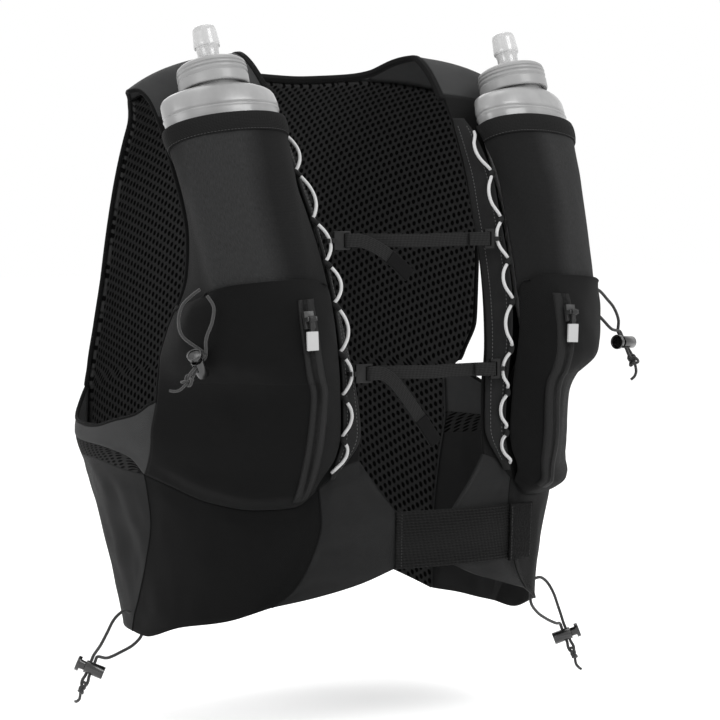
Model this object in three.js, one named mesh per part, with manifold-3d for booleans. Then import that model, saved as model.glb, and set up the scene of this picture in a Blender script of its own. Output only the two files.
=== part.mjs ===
// Running hydration vest with two soft flasks, millimetres, +Z up, front towards -Y.
// The wearer's left is +X. The origin lies midway between the undersides of the two
// shoulder straps, on the line where the wearer's shoulders carry the vest.
import * as THREE from 'three';
import { mergeVertices } from 'three/addons/utils/BufferGeometryUtils.js';
import Module from 'manifold-3d';

const wasm = await Module();
wasm.setup();

// Driving dimensions
const GAP = 0.3;
const vest = {
  height: 412,
  halfWidth: 187,
  frontDepth: 127,
  backDepth: 123,
  chestDrop: 225,
  crown: 4.6,
  shoulderFall: 30,
  shoulderHalf: 165,
};
const cloth = { thick: 2, mesh: 3, pocket: 1.6 };
const tape = { thick: 1.8, bulge: 1.2 };
const binding = { width: 4, thick: 4.4 };
const flask = {
  length: 192,
  halfWidth: 42,
  halfDepth: 21.5,
  yaw: 13,
  neckRadius: 21,
  wall: 1.4,
  capRadius: 25,
  capHeight: 19,
  capWall: 2,
  valveRadius: 9,
  valveHeight: 29,
  valveBore: 3,
  threadFit: 0.4,
};
const pocket = { slack: 1.2, lap: 2, hemHeight: 12, hemThick: 1.4, zipLift: 55 };
const zip = { width: 9, thick: 1.6 };
const slider = { length: 12, width: 7.5, height: 3, barRadius: 0.9, barRise: 2.8, cheek: 1.1 };
const pull = { width: 8.5, thick: 1.8, link: 9, tab: 13, eyeRadius: 2.3, eyeFit: 0.4 };
const lace = { diameter: 2.4, arc: 5.5, stand: 0.8 };
const strap = { width: 9.5, thick: 1.3 };
const hook = { length: 16, width: 13, thick: 2.6 };
const buckle = { length: 11, width: 14, thick: 2.6 };
const clip = { wire: 1.2, jaw: 3.2, slack: 0.8, bar: 2, slot: 3.4, mouth: 1.6 };
const band = { height: 40, thick: 2.2, top: 318, startX: 20.3, endX: 96, tabX: 76, tabWidth: 25, tabHeight: 41, tabThick: 2.2 };
const cord = { diameter: 2.3 };
const lock = {
  radius: 4.6,
  length: 14,
  wall: 0.9,
  floor: 1.5,
  holeHeight: 10,
  travel: 3.5,
  flare: 5.4,
  flareThick: 2,
  boreFit: 0.3,
};

// A table is a list of rows; column(table, key, name) gives a smooth curve through one column.
// Between rows it is a cubic whose slopes never overshoot, so a flat stretch stays flat.
function column(rows, key, name) {
  const x = rows.map((row) => row[key]);
  const y = rows.map((row) => row[name]);
  const last = x.length - 1;
  const step = x.slice(1).map((value, i) => value - x[i]);
  const slope = step.map((h, i) => (y[i + 1] - y[i]) / h);
  const grade = x.map((_, i) => {
    if (i === 0) return slope[0];
    if (i === last) return slope[last - 1];
    const a = slope[i - 1];
    const b = slope[i];
    return a * b <= 0 ? 0 : (2 * a * b) / (a + b);
  });
  return (at) => {
    const t = Math.min(Math.max(at, x[0]), x[last]);
    let i = 0;
    while (i < last - 1 && t > x[i + 1]) i += 1;
    const h = step[i];
    const s = (t - x[i]) / h;
    const s2 = s * s;
    const s3 = s2 * s;
    return (2 * s3 - 3 * s2 + 1) * y[i] + (s3 - 2 * s2 + s) * h * grade[i]
      + (3 * s2 - 2 * s3) * y[i + 1] + (s3 - s2) * h * grade[i + 1];
  };
}

// The body form that the cloth follows. Below the chest line it is a stack of rings; above it
// the rings close over the shoulders. Rows run up from the hem (0) to the chest line (1);
// width is a share of halfWidth, front of frontDepth, back and middle of backDepth.
const ringRows = [
  { up: 0.00, width: 0.835, front: 0.984, back: 0.772, middle: 0.000 },
  { up: 0.17, width: 0.850, front: 1.000, back: 0.821, middle: 0.016 },
  { up: 0.38, width: 0.885, front: 1.016, back: 0.886, middle: 0.041 },
  { up: 0.60, width: 0.945, front: 1.020, back: 0.951, middle: 0.073 },
  { up: 0.78, width: 1.000, front: 1.016, back: 1.000, middle: 0.106 },
  { up: 1.00, width: 0.990, front: 0.992, back: 1.008, middle: 0.106 },
];
const ringWidth = column(ringRows, 'up', 'width');
const ringFront = column(ringRows, 'up', 'front');
const ringBack = column(ringRows, 'up', 'back');
const ringMiddle = column(ringRows, 'up', 'middle');
const squareness = { front: 2.2, back: 2.3 };
const domeFront = { rise: 1.32, reach: 1.5 };
const domeBack = { rise: 2.2, reach: 1.9 };

function ringAt(z) {
  const up = (z + vest.height) / (vest.height - vest.chestDrop);
  const middle = vest.backDepth * ringMiddle(up);
  return {
    half: vest.halfWidth * ringWidth(up),
    front: middle + vest.frontDepth * ringFront(up),
    back: vest.backDepth * ringBack(up) - middle,
    middle,
  };
}

// share of the depth that is left at a share of the width
function fullness(share, power) {
  return (1 - Math.min(share, 1) ** power) ** (1 / power);
}

// Point at a signed width x and a path along the body: 0 front hem, 1 front chest line,
// 1.5 shoulder ridge, 2 back chest line, 3 back hem.
function bodyPoint(x, path) {
  const front = path <= 1.5;
  const power = front ? squareness.front : squareness.back;
  const low = path <= 1 || path >= 2;
  const upShare = path <= 1 ? path : 3 - path;
  const z = low ? -vest.height + (vest.height - vest.chestDrop) * upShare : -vest.chestDrop;
  const ring = ringAt(z);
  const full = fullness(Math.abs(x) / ring.half, power);
  if (low) {
    const y = front ? ring.middle - ring.front * full : ring.middle + ring.back * full;
    return new THREE.Vector3(x, y, z);
  }
  const turn = (path - 1) * Math.PI;
  const dome = front ? domeFront : domeBack;
  const rise = Math.abs(Math.sin(turn)) ** (2 / dome.rise);
  const reach = Math.abs(Math.cos(turn)) ** (2 / dome.reach);
  const ridge = vest.crown - vest.shoulderFall * (Math.abs(x) / vest.shoulderHalf) ** 4;
  const middle = ring.middle * (1 - rise);
  const y = front ? middle - ring.front * full * reach : middle + ring.back * full * reach;
  return new THREE.Vector3(x, y, z + (ridge - z) * rise);
}

// Point below the chest line at an angle round the body (0 front, 90 side, 180 back) and a drop,
// which is a share of the vest's height below the ridge.
function girthPoint(side, angle, drop) {
  const z = -vest.height * drop;
  const ring = ringAt(z);
  const front = angle <= 90;
  const power = front ? squareness.front : squareness.back;
  const turn = THREE.MathUtils.degToRad(angle);
  const x = side * ring.half * Math.abs(Math.sin(turn)) ** (2 / power);
  const depth = Math.abs(Math.cos(turn)) ** (2 / power);
  const y = front ? ring.middle - ring.front * depth : ring.middle + ring.back * depth;
  return new THREE.Vector3(x, y, z);
}

// A point lifted off a surface along its outward normal, found by small steps in both parameters
const bodyCentre = new THREE.Vector3(0, 0, -vest.height / 2);
function lifted(surface, a, b, lift, stepA, stepB) {
  const point = surface(a, b);
  if (lift === 0) return point;
  const along = surface(a + stepA, b).sub(surface(a - stepA, b));
  const across = surface(a, b + stepB).sub(surface(a, b - stepB));
  const normal = along.cross(across).normalize();
  const outward = point.clone().sub(bodyCentre);
  outward.z *= point.z > -vest.chestDrop ? 0.6 : 0;
  if (normal.dot(outward) < 0) normal.negate();
  return point.addScaledVector(normal, lift);
}
const onBody = (x, path, lift) => lifted(bodyPoint, x, path, lift, 0.2, 0.002);
const onGirth = (side, angle, drop, lift) => (
  lifted((a, d) => girthPoint(side, a, d), angle, drop, lift, 0.3, 0.002)
);
const pathAtDrop = (drop) => (1 - drop) * vest.height / (vest.height - vest.chestDrop);

// Closed shell between two grids of points, outer(u, v) and inner(u, v), u and v from 0 to 1
function shell(outer, inner, nu, nv) {
  const positions = [];
  const index = [];
  [outer, inner].forEach((face) => {
    for (let j = 0; j <= nv; j += 1) {
      for (let i = 0; i <= nu; i += 1) positions.push(...face(i / nu, j / nv).toArray());
    }
  });
  const row = nu + 1;
  const layer = row * (nv + 1);
  const quad = (a, b, c, d) => index.push(a, b, c, a, c, d);
  for (let j = 0; j < nv; j += 1) {
    for (let i = 0; i < nu; i += 1) {
      const a = j * row + i;
      quad(a, a + 1, a + row + 1, a + row);
      quad(layer + a, layer + a + row, layer + a + row + 1, layer + a + 1);
    }
  }
  for (let i = 0; i < nu; i += 1) {
    const top = nv * row + i;
    quad(i + 1, i, layer + i, layer + i + 1);
    quad(top, top + 1, layer + top + 1, layer + top);
  }
  for (let j = 0; j < nv; j += 1) {
    const a = j * row;
    const b = a + nu;
    quad(a, a + row, layer + a + row, layer + a);
    quad(b + row, b, layer + b, layer + b + row);
  }
  return closedGeometry(positions, index);
}

// Rings of equal count joined in order, with both ends closed
function ringStack(rings) {
  const count = rings[0].length;
  const positions = rings.flat().flatMap((point) => point.toArray());
  const index = [];
  for (let j = 0; j + 1 < rings.length; j += 1) {
    for (let i = 0; i < count; i += 1) {
      const a = j * count + i;
      const b = j * count + ((i + 1) % count);
      index.push(a, b, b + count, a, b + count, a + count);
    }
  }
  [0, rings.length - 1].forEach((j) => {
    const centre = new THREE.Vector3();
    rings[j].forEach((point) => centre.add(point));
    const tip = positions.length / 3;
    positions.push(...centre.divideScalar(count).toArray());
    for (let i = 0; i < count; i += 1) {
      const a = j * count + i;
      const b = j * count + ((i + 1) % count);
      index.push(...(j === 0 ? [b, a, tip] : [a, b, tip]));
    }
  });
  return closedGeometry(positions, index);
}

// Geometry from shared vertices, turned so that its faces point out
function closedGeometry(positions, index) {
  const point = (i) => new THREE.Vector3().fromArray(positions, 3 * i);
  let volume = 0;
  for (let i = 0; i < index.length; i += 3) {
    volume += point(index[i]).dot(point(index[i + 1]).cross(point(index[i + 2])));
  }
  const turned = volume < 0
    ? index.flatMap((value, i) => (i % 3 === 0 ? [value, index[i + 2], index[i + 1]] : []))
    : index;
  const geometry = new THREE.BufferGeometry();
  geometry.setAttribute('position', new THREE.Float32BufferAttribute(positions, 3));
  geometry.setIndex(turned);
  return geometry;
}

// A curve in two parameters through a short list of rows, by its own length share
function seam(rows) {
  const at = rows.map((row, i) => ({ t: i / (rows.length - 1), a: row[0], b: row[1] }));
  const a = column(at, 't', 'a');
  const b = column(at, 't', 'b');
  return (t) => [a(t), b(t)];
}

// Patch between four seams: foot and head run the same way, near and far run from foot to head
function patch(foot, head, near, far) {
  const corner = [foot(0), foot(1), head(0), head(1)];
  return (u, v) => [0, 1].map((k) => (1 - v) * foot(u)[k] + v * head(u)[k]
    + (1 - u) * near(v)[k] + u * far(v)[k]
    - (1 - u) * (1 - v) * corner[0][k] - u * (1 - v) * corner[1][k]
    - (1 - u) * v * corner[2][k] - u * v * corner[3][k]);
}

// Cloth laid on the body over a patch, drawn in from each seam by half of the gap
function cloak(place, map, low, high, nu, nv, sizes) {
  const drawn = (t, size) => THREE.MathUtils.lerp(GAP / 2 / size, 1 - GAP / 2 / size, t);
  const at = (lift) => (u, v) => {
    const [a, b] = map(drawn(u, sizes[0]), drawn(v, sizes[1]));
    return place(a, b, typeof lift === 'function' ? lift(u, v) : lift);
  };
  return shell(at(high), at(low), nu, nv);
}

// Edges of the front cloth along the path, as shares of halfWidth
const outerRows = [
  { path: 0.520, x: 0.910 },
  { path: 0.647, x: 0.920 },
  { path: 0.781, x: 0.925 },
  { path: 0.930, x: 0.909 },
  { path: 1.056, x: 0.898 },
  { path: 1.103, x: 0.877 },
  { path: 1.167, x: 0.818 },
  { path: 1.225, x: 0.800 },
  { path: 1.298, x: 0.813 },
  { path: 1.401, x: 0.829 },
  { path: 1.460, x: 0.850 },
  { path: 1.500, x: 0.872 },
  { path: 1.560, x: 0.850 },
  { path: 1.624, x: 0.795 },
];
const innerRows = [
  { path: 0.700, x: 0.278 },
  { path: 0.800, x: 0.273 },
  { path: 1.000, x: 0.289 },
  { path: 1.077, x: 0.316 },
  { path: 1.180, x: 0.358 },
  { path: 1.264, x: 0.380 },
  { path: 1.376, x: 0.406 },
  { path: 1.500, x: 0.417 },
  { path: 1.560, x: 0.380 },
  { path: 1.624, x: 0.321 },
];
const outerEdge = column(outerRows, 'path', 'x');
const innerEdge = column(innerRows, 'path', 'x');
const station = {
  mouth: 1.37, yoke: 1.624, waistTop: 0.70, colourEnd: 0.647, underarm: 0.918,
};
// Foot of the front panels and pockets, from the gap outwards: share of halfWidth and path
const footSeam = seam([
  [0.278, 0.700], [0.337, 0.680], [0.428, 0.600], [0.519, 0.530],
  [0.642, 0.522], [0.765, 0.548], [0.861, 0.605], [0.920, 0.647],
]);
const footSplit = 2 / 7;

// The same point of the body, given as angle and drop instead of width and path
function toGirth(x, path) {
  const drop = 1 - path * (vest.height - vest.chestDrop) / vest.height;
  const share = x * vest.halfWidth / ringAt(-vest.height * drop).half;
  const angle = THREE.MathUtils.radToDeg(Math.asin(Math.min(share, 1) ** (squareness.front / 2)));
  return [angle, drop];
}

// Seams below the chest line: angle round the body and drop
const colourSeam = seam([[94, 0.991], [88, 0.930], [81, 0.858], [75, 0.784], toGirth(0.920, 0.647)]);
const colourTop = (t) => {
  const path = THREE.MathUtils.lerp(station.colourEnd, station.underarm, t);
  return toGirth(outerEdge(path), path);
};
const armholeSeam = seam([
  colourTop(1), [67, 0.587], [72, 0.609], [80, 0.621], [90, 0.631], [105, 0.627], [116, 0.609], [125, 0.576],
]);
const meshTop = seam([toGirth(0.920, 0.647), [75, 0.680], [86, 0.663], [100, 0.657], [125, 0.648]]);
const meshFoot = seam([toGirth(0.920, 0.647), [80, 0.699], [94, 0.684], [108, 0.684], [125, 0.688]]);
const hemSide = seam([[94, 0.991], [104, 0.988], [115, 0.981], [125, 0.976]]);
const lowerSeam = seam([[40, 0.930], [34, 0.902], [29, 0.855], [25, 0.782], toGirth(...footSeam(footSplit))]);
const hemSkirt = seam([[40, 0.930], [54, 0.956], [70, 0.971], [86, 0.995], [94, 0.991]]);
const hemWaist = seam([[6.2, 0.867], [16, 0.893], [28, 0.914], [40, 0.930]]);
const waistFree = seam([[6.2, 0.777], [11, 0.728], toGirth(...footSeam(0))]);
const waistTop = (t) => (t < 0.5 ? waistFree(2 * t) : toGirth(...footSeam((2 * t - 1) * footSplit)));
const backSeamAngle = 125;
const straight = (from, to) => (t) => [0, 1].map((k) => from[k] + (to[k] - from[k]) * t);

// Named materials
const paint = {
  shell: { color: 0x343434, roughness: 0.75 },
  dark: { color: 0x1d1d1d, roughness: 0.8 },
  stretch: { color: 0x2a2a2a, roughness: 0.85 },
  mesh: { color: 0x161616, roughness: 0.9 },
  webbing: { color: 0x202020, roughness: 0.7 },
  lace: { color: 0xc8c8c8, roughness: 0.6 },
  cord: { color: 0x1a1a1a, roughness: 0.6 },
  bottle: { color: 0xc4c4c4, roughness: 0.35 },
  cap: { color: 0x9a9a9a, roughness: 0.5 },
  valve: { color: 0xdcdcdc, roughness: 0.2 },
  plastic: { color: 0x111111, roughness: 0.35 },
  metal: { color: 0x2c2c2c, roughness: 0.4, metalness: 0.7 },
  pull: { color: 0xc0c0c0, roughness: 0.5 },
};
const vestGroup = new THREE.Group();
function add(name, geometry, look) {
  const mesh = new THREE.Mesh(geometry, new THREE.MeshStandardMaterial(paint[look]));
  mesh.name = name;
  vestGroup.add(mesh);
  return mesh;
}
const sides = [{ word: 'right', sign: -1 }, { word: 'left', sign: 1 }];
const onFront = (sign) => (x, path, lift) => onBody(sign * x * vest.halfWidth, path, lift);
const onSide = (sign) => (angle, drop, lift) => onGirth(sign, angle, drop, lift);

// Cloth over the shoulders and behind the pockets
function frontCloth({ word, sign }) {
  const far = (from, to) => (t) => {
    const path = THREE.MathUtils.lerp(from, to, t);
    return [outerEdge(path), path];
  };
  const near = (from, to) => (t) => {
    const path = THREE.MathUtils.lerp(from, to, t);
    return [innerEdge(path), path];
  };
  const across = (path) => straight([innerEdge(path), path], [outerEdge(path), path]);
  const panel = patch(footSeam, across(station.mouth),
    near(station.waistTop, station.mouth), far(station.colourEnd, station.mouth));
  add(`front_panel_${word}`, cloak(onFront(sign), panel, 0, cloth.thick, 14, 8, [95, 240]), 'dark');
  const shoulder = patch(across(station.mouth), across(station.yoke),
    near(station.mouth, station.yoke), far(station.mouth, station.yoke));
  add(`shoulder_strap_${word}`, cloak(onFront(sign), shoulder, 0, cloth.thick, 5, 9, [80, 100]), 'shell');
}

// Side and lower front cloth
function lowerCloth({ word, sign }) {
  const place = onSide(sign);
  const underarm = patch(meshTop, armholeSeam, colourTop, straight([125, 0.648], [125, 0.576]));
  add(`underarm_panel_${word}`, cloak(place, underarm, 0, cloth.thick, 12, 3, [90, 30]), 'shell');
  const insert = patch(meshFoot, meshTop, () => meshTop(0), straight([125, 0.688], [125, 0.648]));
  add(`side_mesh_${word}`, sliver(place, insert), 'mesh');
  const side = patch(hemSide, meshFoot, colourSeam, straight([125, 0.976], [125, 0.688]));
  add(`side_panel_${word}`, cloak(place, side, 0, cloth.thick, 12, 6, [120, 115]), 'shell');
  const skirtHead = (t) => toGirth(...footSeam(footSplit + (1 - footSplit) * t));
  const skirt = patch(hemSkirt, skirtHead, lowerSeam, colourSeam);
  add(`front_skirt_${word}`, cloak(place, skirt, 0, cloth.thick, 10, 6, [110, 90]), 'dark');
  const waist = patch(hemWaist, waistTop, straight([6.2, 0.867], [6.2, 0.777]), lowerSeam);
  add(`waist_panel_${word}`, cloak(place, waist, 0, cloth.thick, 8, 6, [80, 60]), 'shell');
}

// The side mesh comes to a point at the front, so its first edge is drawn in further
function sliver(place, map) {
  const front = 1 / 6;
  return cloak(place, (u, v) => map(front + (1 - front) * u, v), 0, cloth.thick, 10, 2, [170, 8]);
}

// Back cloth and its mesh lining, armhole to armhole
// The left armhole's edge comes further round, as the vest hangs a little turned
const backRows = [
  { path: 1.624, right: 0.795, left: 0.795 },
  { path: 1.706, right: 0.738, left: 0.846 },
  { path: 1.803, right: 0.741, left: 0.890 },
  { path: 1.901, right: 0.752, left: 0.908 },
  { path: 1.960, right: 0.785, left: 0.882 },
  { path: 2.000, right: 0.822, left: 0.847 },
  { path: 2.060, right: 0.843, left: 0.843 },
];
const backEdges = { right: column(backRows, 'path', 'right'), left: column(backRows, 'path', 'left') };
function backEdge(path, word) {
  if (path <= 2.06) return backEdges[word](path);
  const turn = THREE.MathUtils.degToRad(180 - backSeamAngle);
  return ringAt(-vest.height * (1 - (3 - path) * (vest.height - vest.chestDrop) / vest.height)).half
    * Math.sin(turn) ** (2 / squareness.back) / vest.halfWidth;
}
// The back's top edge dips a little between the straps
const yokeLine = (x) => station.yoke + 0.012 * Math.max(0, 1 - (x / 0.32) ** 2) ** 2;
const backHem = (share) => THREE.MathUtils.lerp(2.81, 2.947, share ** 2);
function backCloth() {
  const map = (inset) => (u, v) => {
    const share = 2 * u - 1;
    const top = yokeLine(Math.abs(share) * outerEdge(station.yoke));
    const path = THREE.MathUtils.lerp(backHem(share), top, v);
    return [share * (backEdge(path, share < 0 ? 'right' : 'left') - inset), path];
  };
  add('back_panel', cloak(onFront(1), map(0), 0, cloth.thick, 12, 12, [300, 400]), 'shell');
  add('back_mesh', cloak(onFront(1), map(0.02), -cloth.mesh - 4 * GAP, -4 * GAP, 12, 12, [300, 400]), 'mesh');
}

// Band along a route on the body, beside the edge; each route point is a width share and a path
function edgeBand(route, width, low, high, steps) {
  const at = (t) => {
    const [x, path] = route(t);
    return onBody(x * vest.halfWidth, path, 0);
  };
  const frame = (t) => {
    const [x, path] = route(t);
    const point = at(t);
    const normal = onBody(x * vest.halfWidth, path, 1).sub(point).normalize();
    const ahead = at(Math.min(t + 0.01, 1)).sub(at(Math.max(t - 0.01, 0))).normalize();
    return { point, normal, side: normal.clone().cross(ahead).normalize() };
  };
  const place = (lift) => (u, v) => {
    const { point, normal, side } = frame(v);
    return point.addScaledVector(side, GAP + u * width).addScaledVector(normal, lift);
  };
  return shell(place(high), place(low), 1, steps);
}
function neckBinding() {
  const half = [
    [innerEdge(1.36), 1.36], [innerEdge(1.43), 1.43], [innerEdge(1.50), 1.50],
    [innerEdge(1.56), 1.56], [0.325, 1.610], [0.240, yokeLine(0.24)], [0.120, yokeLine(0.12)],
  ];
  const other = half.map(([x, path]) => [-x, path]).reverse();
  const route = seam([...half, [0, yokeLine(0)], ...other]);
  add('neck_binding', edgeBand(route, binding.width, cloth.thick - binding.thick + 1, cloth.thick + 1, 36), 'dark');
}

// Lift outwards at one height, without rising or falling
function proud(x, path, lift) {
  const point = onBody(x, path, 0);
  const out = onBody(x, path, 1).sub(point);
  out.z = 0;
  return point.addScaledVector(out.normalize(), lift);
}

// Path at which the body form has a width and a height
function pathAt(x, z) {
  if (z <= -vest.chestDrop) return (z + vest.height) / (vest.height - vest.chestDrop);
  const ridge = vest.crown - vest.shoulderFall * (Math.abs(x) / vest.shoulderHalf) ** 4;
  const rise = Math.min((z + vest.chestDrop) / (ridge + vest.chestDrop), 1);
  return 1 + Math.asin(rise ** (domeFront.rise / 2)) / Math.PI;
}

// The stitched edge tape runs from the front cloth's inner edge out to the lace line, which
// stands clear of the body. Rows by drop: edge and lace are widths, fore is a share of frontDepth.
const tapeRows = [
  { drop: 0.100, edge: 0.404, lace: 0.440, fore: 0.450 },
  { drop: 0.124, edge: 0.396, lace: 0.446, fore: 0.543 },
  { drop: 0.194, edge: 0.384, lace: 0.447, fore: 0.717 },
  { drop: 0.265, edge: 0.364, lace: 0.431, fore: 0.838 },
  { drop: 0.330, edge: 0.355, lace: 0.418, fore: 0.937 },
  { drop: 0.405, edge: 0.340, lace: 0.407, fore: 1.018 },
  { drop: 0.483, edge: 0.318, lace: 0.392, fore: 1.048 },
  { drop: 0.553, edge: 0.292, lace: 0.374, fore: 1.035 },
  { drop: 0.636, edge: 0.276, lace: 0.366, fore: 1.020 },
  { drop: 0.716, edge: 0.385, lace: 0.412, fore: 0.985 },
];
const tapeEdge = column(tapeRows, 'drop', 'edge');
const laceWide = column(tapeRows, 'drop', 'lace');
const laceFore = column(tapeRows, 'drop', 'fore');
const tapeEnd = { top: 0.100, foot: 0.712 };
function laceCrest(sign, drop) {
  return new THREE.Vector3(
    sign * laceWide(drop) * vest.halfWidth, -laceFore(drop) * vest.frontDepth, -drop * vest.height);
}
// Frame of the tape's section at a height: its foot on the cloth, its crest and its face's direction
function tapeFrame(sign, drop) {
  const x = tapeEdge(drop) * vest.halfWidth + GAP;
  const foot = proud(sign * x, pathAt(x, -drop * vest.height), cloth.thick + 2 * GAP);
  foot.z = -drop * vest.height;
  const crest = laceCrest(sign, drop);
  const way = crest.clone().sub(foot).normalize();
  const face = new THREE.Vector3(sign * way.y * sign, -way.x, 0);
  if (face.x * sign > 0) face.negate();
  return { foot, crest, face };
}
function edgeTape({ word, sign }) {
  const side = (extra) => (u, v) => {
    const drop = THREE.MathUtils.lerp(tapeEnd.foot, tapeEnd.top, v);
    const { foot, crest, face } = tapeFrame(sign, drop);
    return foot.lerp(crest, u).addScaledVector(face, extra + tape.bulge * Math.sin(Math.PI * u));
  };
  add(`edge_tape_${word}`, shell(side(tape.thick), side(0), 3, 16), 'dark');
}

// Soft flask: rows down its leaning axis, x of halfWidth, fore of frontDepth, drop of height,
// width and depth of its half sizes
const flaskRows = [
  { drop: 0.058, x: 0.679, fore: 0.449, width: 0.530, depth: 0.950, lean: 20 },
  { drop: 0.070, x: 0.679, fore: 0.472, width: 0.660, depth: 0.955, lean: 21 },
  { drop: 0.080, x: 0.679, fore: 0.488, width: 0.886, depth: 1.020, lean: 22 },
  { drop: 0.090, x: 0.679, fore: 0.504, width: 1.000, depth: 1.045, lean: 23 },
  { drop: 0.117, x: 0.679, fore: 0.547, width: 0.975, depth: 1.000, lean: 24 },
  { drop: 0.170, x: 0.674, fore: 0.626, width: 0.924, depth: 0.930, lean: 23 },
  { drop: 0.265, x: 0.663, fore: 0.756, width: 0.860, depth: 0.886, lean: 20 },
  { drop: 0.364, x: 0.650, fore: 0.866, width: 0.848, depth: 0.864, lean: 18 },
  { drop: 0.461, x: 0.642, fore: 0.945, width: 0.797, depth: 0.773, lean: 14 },
  { drop: 0.505, x: 0.639, fore: 0.969, width: 0.633, depth: 0.500, lean: 12 },
  { drop: 0.520, x: 0.636, fore: 0.976, width: 0.354, depth: 0.227, lean: 12 },
];
const flaskX = column(flaskRows, 'drop', 'x');
const flaskFore = column(flaskRows, 'drop', 'fore');
const flaskWidth = column(flaskRows, 'drop', 'width');
const flaskDepth = column(flaskRows, 'drop', 'depth');
const flaskLean = column(flaskRows, 'drop', 'lean');
const flaskEnd = { top: 0.058 };
function flaskFrame(sign, drop) {
  const centre = new THREE.Vector3(
    sign * flaskX(drop) * vest.halfWidth, -flaskFore(drop) * vest.frontDepth, -drop * vest.height);
  const lean = THREE.MathUtils.degToRad(flaskLean(drop));
  const up = new THREE.Vector3(0, Math.sin(lean), Math.cos(lean));
  const yaw = THREE.MathUtils.degToRad(flask.yaw);
  const ahead = new THREE.Vector3(0, -Math.cos(lean), Math.sin(lean));
  const aside = new THREE.Vector3(sign, 0, 0);
  const across = aside.clone().multiplyScalar(Math.cos(yaw)).addScaledVector(ahead, -Math.sin(yaw));
  const fore = ahead.clone().multiplyScalar(Math.cos(yaw)).addScaledVector(aside, Math.sin(yaw));
  return { centre, up, across, fore, lean };
}
// Point of a flask section: turn 0 away from the vest's middle, 90 degrees to the front
function flaskPoint(sign, drop, turn, grow) {
  const { centre, across, fore } = flaskFrame(sign, drop);
  const a = flask.halfWidth * flaskWidth(drop) + grow;
  const b = flask.halfDepth * flaskDepth(drop) + grow;
  const power = THREE.MathUtils.clamp(THREE.MathUtils.mapLinear(drop, 0.08, 0.2, 2, 2.3), 2, 2.3);
  const c = Math.cos(turn);
  const s = Math.sin(turn);
  return centre.addScaledVector(across, a * Math.sign(c) * Math.abs(c) ** (2 / power))
    .addScaledVector(fore, b * Math.sign(s) * Math.abs(s) ** (2 / power));
}
const ringOf = (count, at) => Array.from({ length: count }, (_, i) => at(i / count * 2 * Math.PI));

// Solid of revolution about an axis; the profile is a closed loop of [radius, height]
function turned(profile, base, up, steps) {
  const along = up.clone().normalize();
  const first = new THREE.Vector3(1, 0, 0).cross(along).normalize();
  const second = along.clone().cross(first);
  const positions = [];
  const index = [];
  for (let j = 0; j < steps; j += 1) {
    const a = j / steps * 2 * Math.PI;
    profile.forEach(([radius, height]) => {
      const point = base.clone().addScaledVector(along, height)
        .addScaledVector(first, radius * Math.cos(a)).addScaledVector(second, radius * Math.sin(a));
      positions.push(...point.toArray());
    });
  }
  const n = profile.length;
  for (let j = 0; j < steps; j += 1) {
    const k = (j + 1) % steps;
    for (let i = 0; i < n; i += 1) {
      const m = (i + 1) % n;
      index.push(j * n + i, k * n + i, k * n + m, j * n + i, k * n + m, j * n + m);
    }
  }
  return closedGeometry(positions, index);
}

// Soft flask with an open neck, its screw cap and its bite valve
function softFlask({ word, sign }) {
  const drops = [0.518, 0.500, 0.461, 0.40, 0.32, 0.24, 0.17, 0.117, 0.090, 0.081, 0.073];
  const neck = flaskFrame(sign, flaskEnd.top);
  const neckRing = (radius, rise) => ringOf(16, (a) => neck.centre.clone()
    .addScaledVector(neck.up, rise)
    .addScaledVector(neck.across, radius * Math.cos(a))
    .addScaledVector(neck.fore, radius * Math.sin(a)));
  const outer = drops.map((drop) => ringOf(16, (a) => flaskPoint(sign, drop, a, 0)));
  outer.push(neckRing(flask.neckRadius, -2.5), neckRing(flask.neckRadius, 14));
  const inner = [...drops].reverse().map((drop) => ringOf(16, (a) => flaskPoint(sign, drop, a, -flask.wall)));
  inner[inner.length - 1].forEach((point) => point.addScaledVector(neck.up, flask.wall));
  const bore = flask.neckRadius - flask.wall;
  add(`flask_${word}`, ringStack([...outer, neckRing(bore, 14), neckRing(bore, -2.5 - flask.wall), ...inner]), 'bottle');
}
const capSeat = (sign) => {
  const { centre, up } = flaskFrame(sign, flaskEnd.top);
  return { base: centre, up };
};
function flaskCap({ word, sign }) {
  const { base, up } = capSeat(sign);
  const bore = flask.neckRadius + flask.threadFit;
  const top = flask.capHeight;
  const spout = flask.valveRadius * 0.5;
  const profile = [
    [bore, 0], [flask.capRadius, 0], [flask.capRadius, top - 3], [flask.capRadius - 2, top],
    [spout, top], [spout, top + 8], [flask.valveBore / 2, top + 8],
    [flask.valveBore / 2, top - flask.capWall], [bore, top - flask.capWall],
  ];
  add(`flask_cap_${word}`, turned(profile, base, up, 24), 'cap');
  const wide = flask.valveRadius;
  const high = top + flask.valveHeight;
  const valve = [
    [spout + GAP, top + GAP], [wide + 2, top + GAP], [wide + 2, top + 2], [wide, top + 4],
    [wide * 0.95, top + 12], [wide * 0.72, top + 15], [wide * 0.80, high - 4],
    [wide * 0.66, high], [flask.valveBore / 2, high], [flask.valveBore / 2, top + 8 + GAP],
    [spout + GAP, top + 8 + GAP],
  ];
  add(`bite_valve_${word}`, turned(valve, base, up, 16), 'valve');
}

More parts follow.
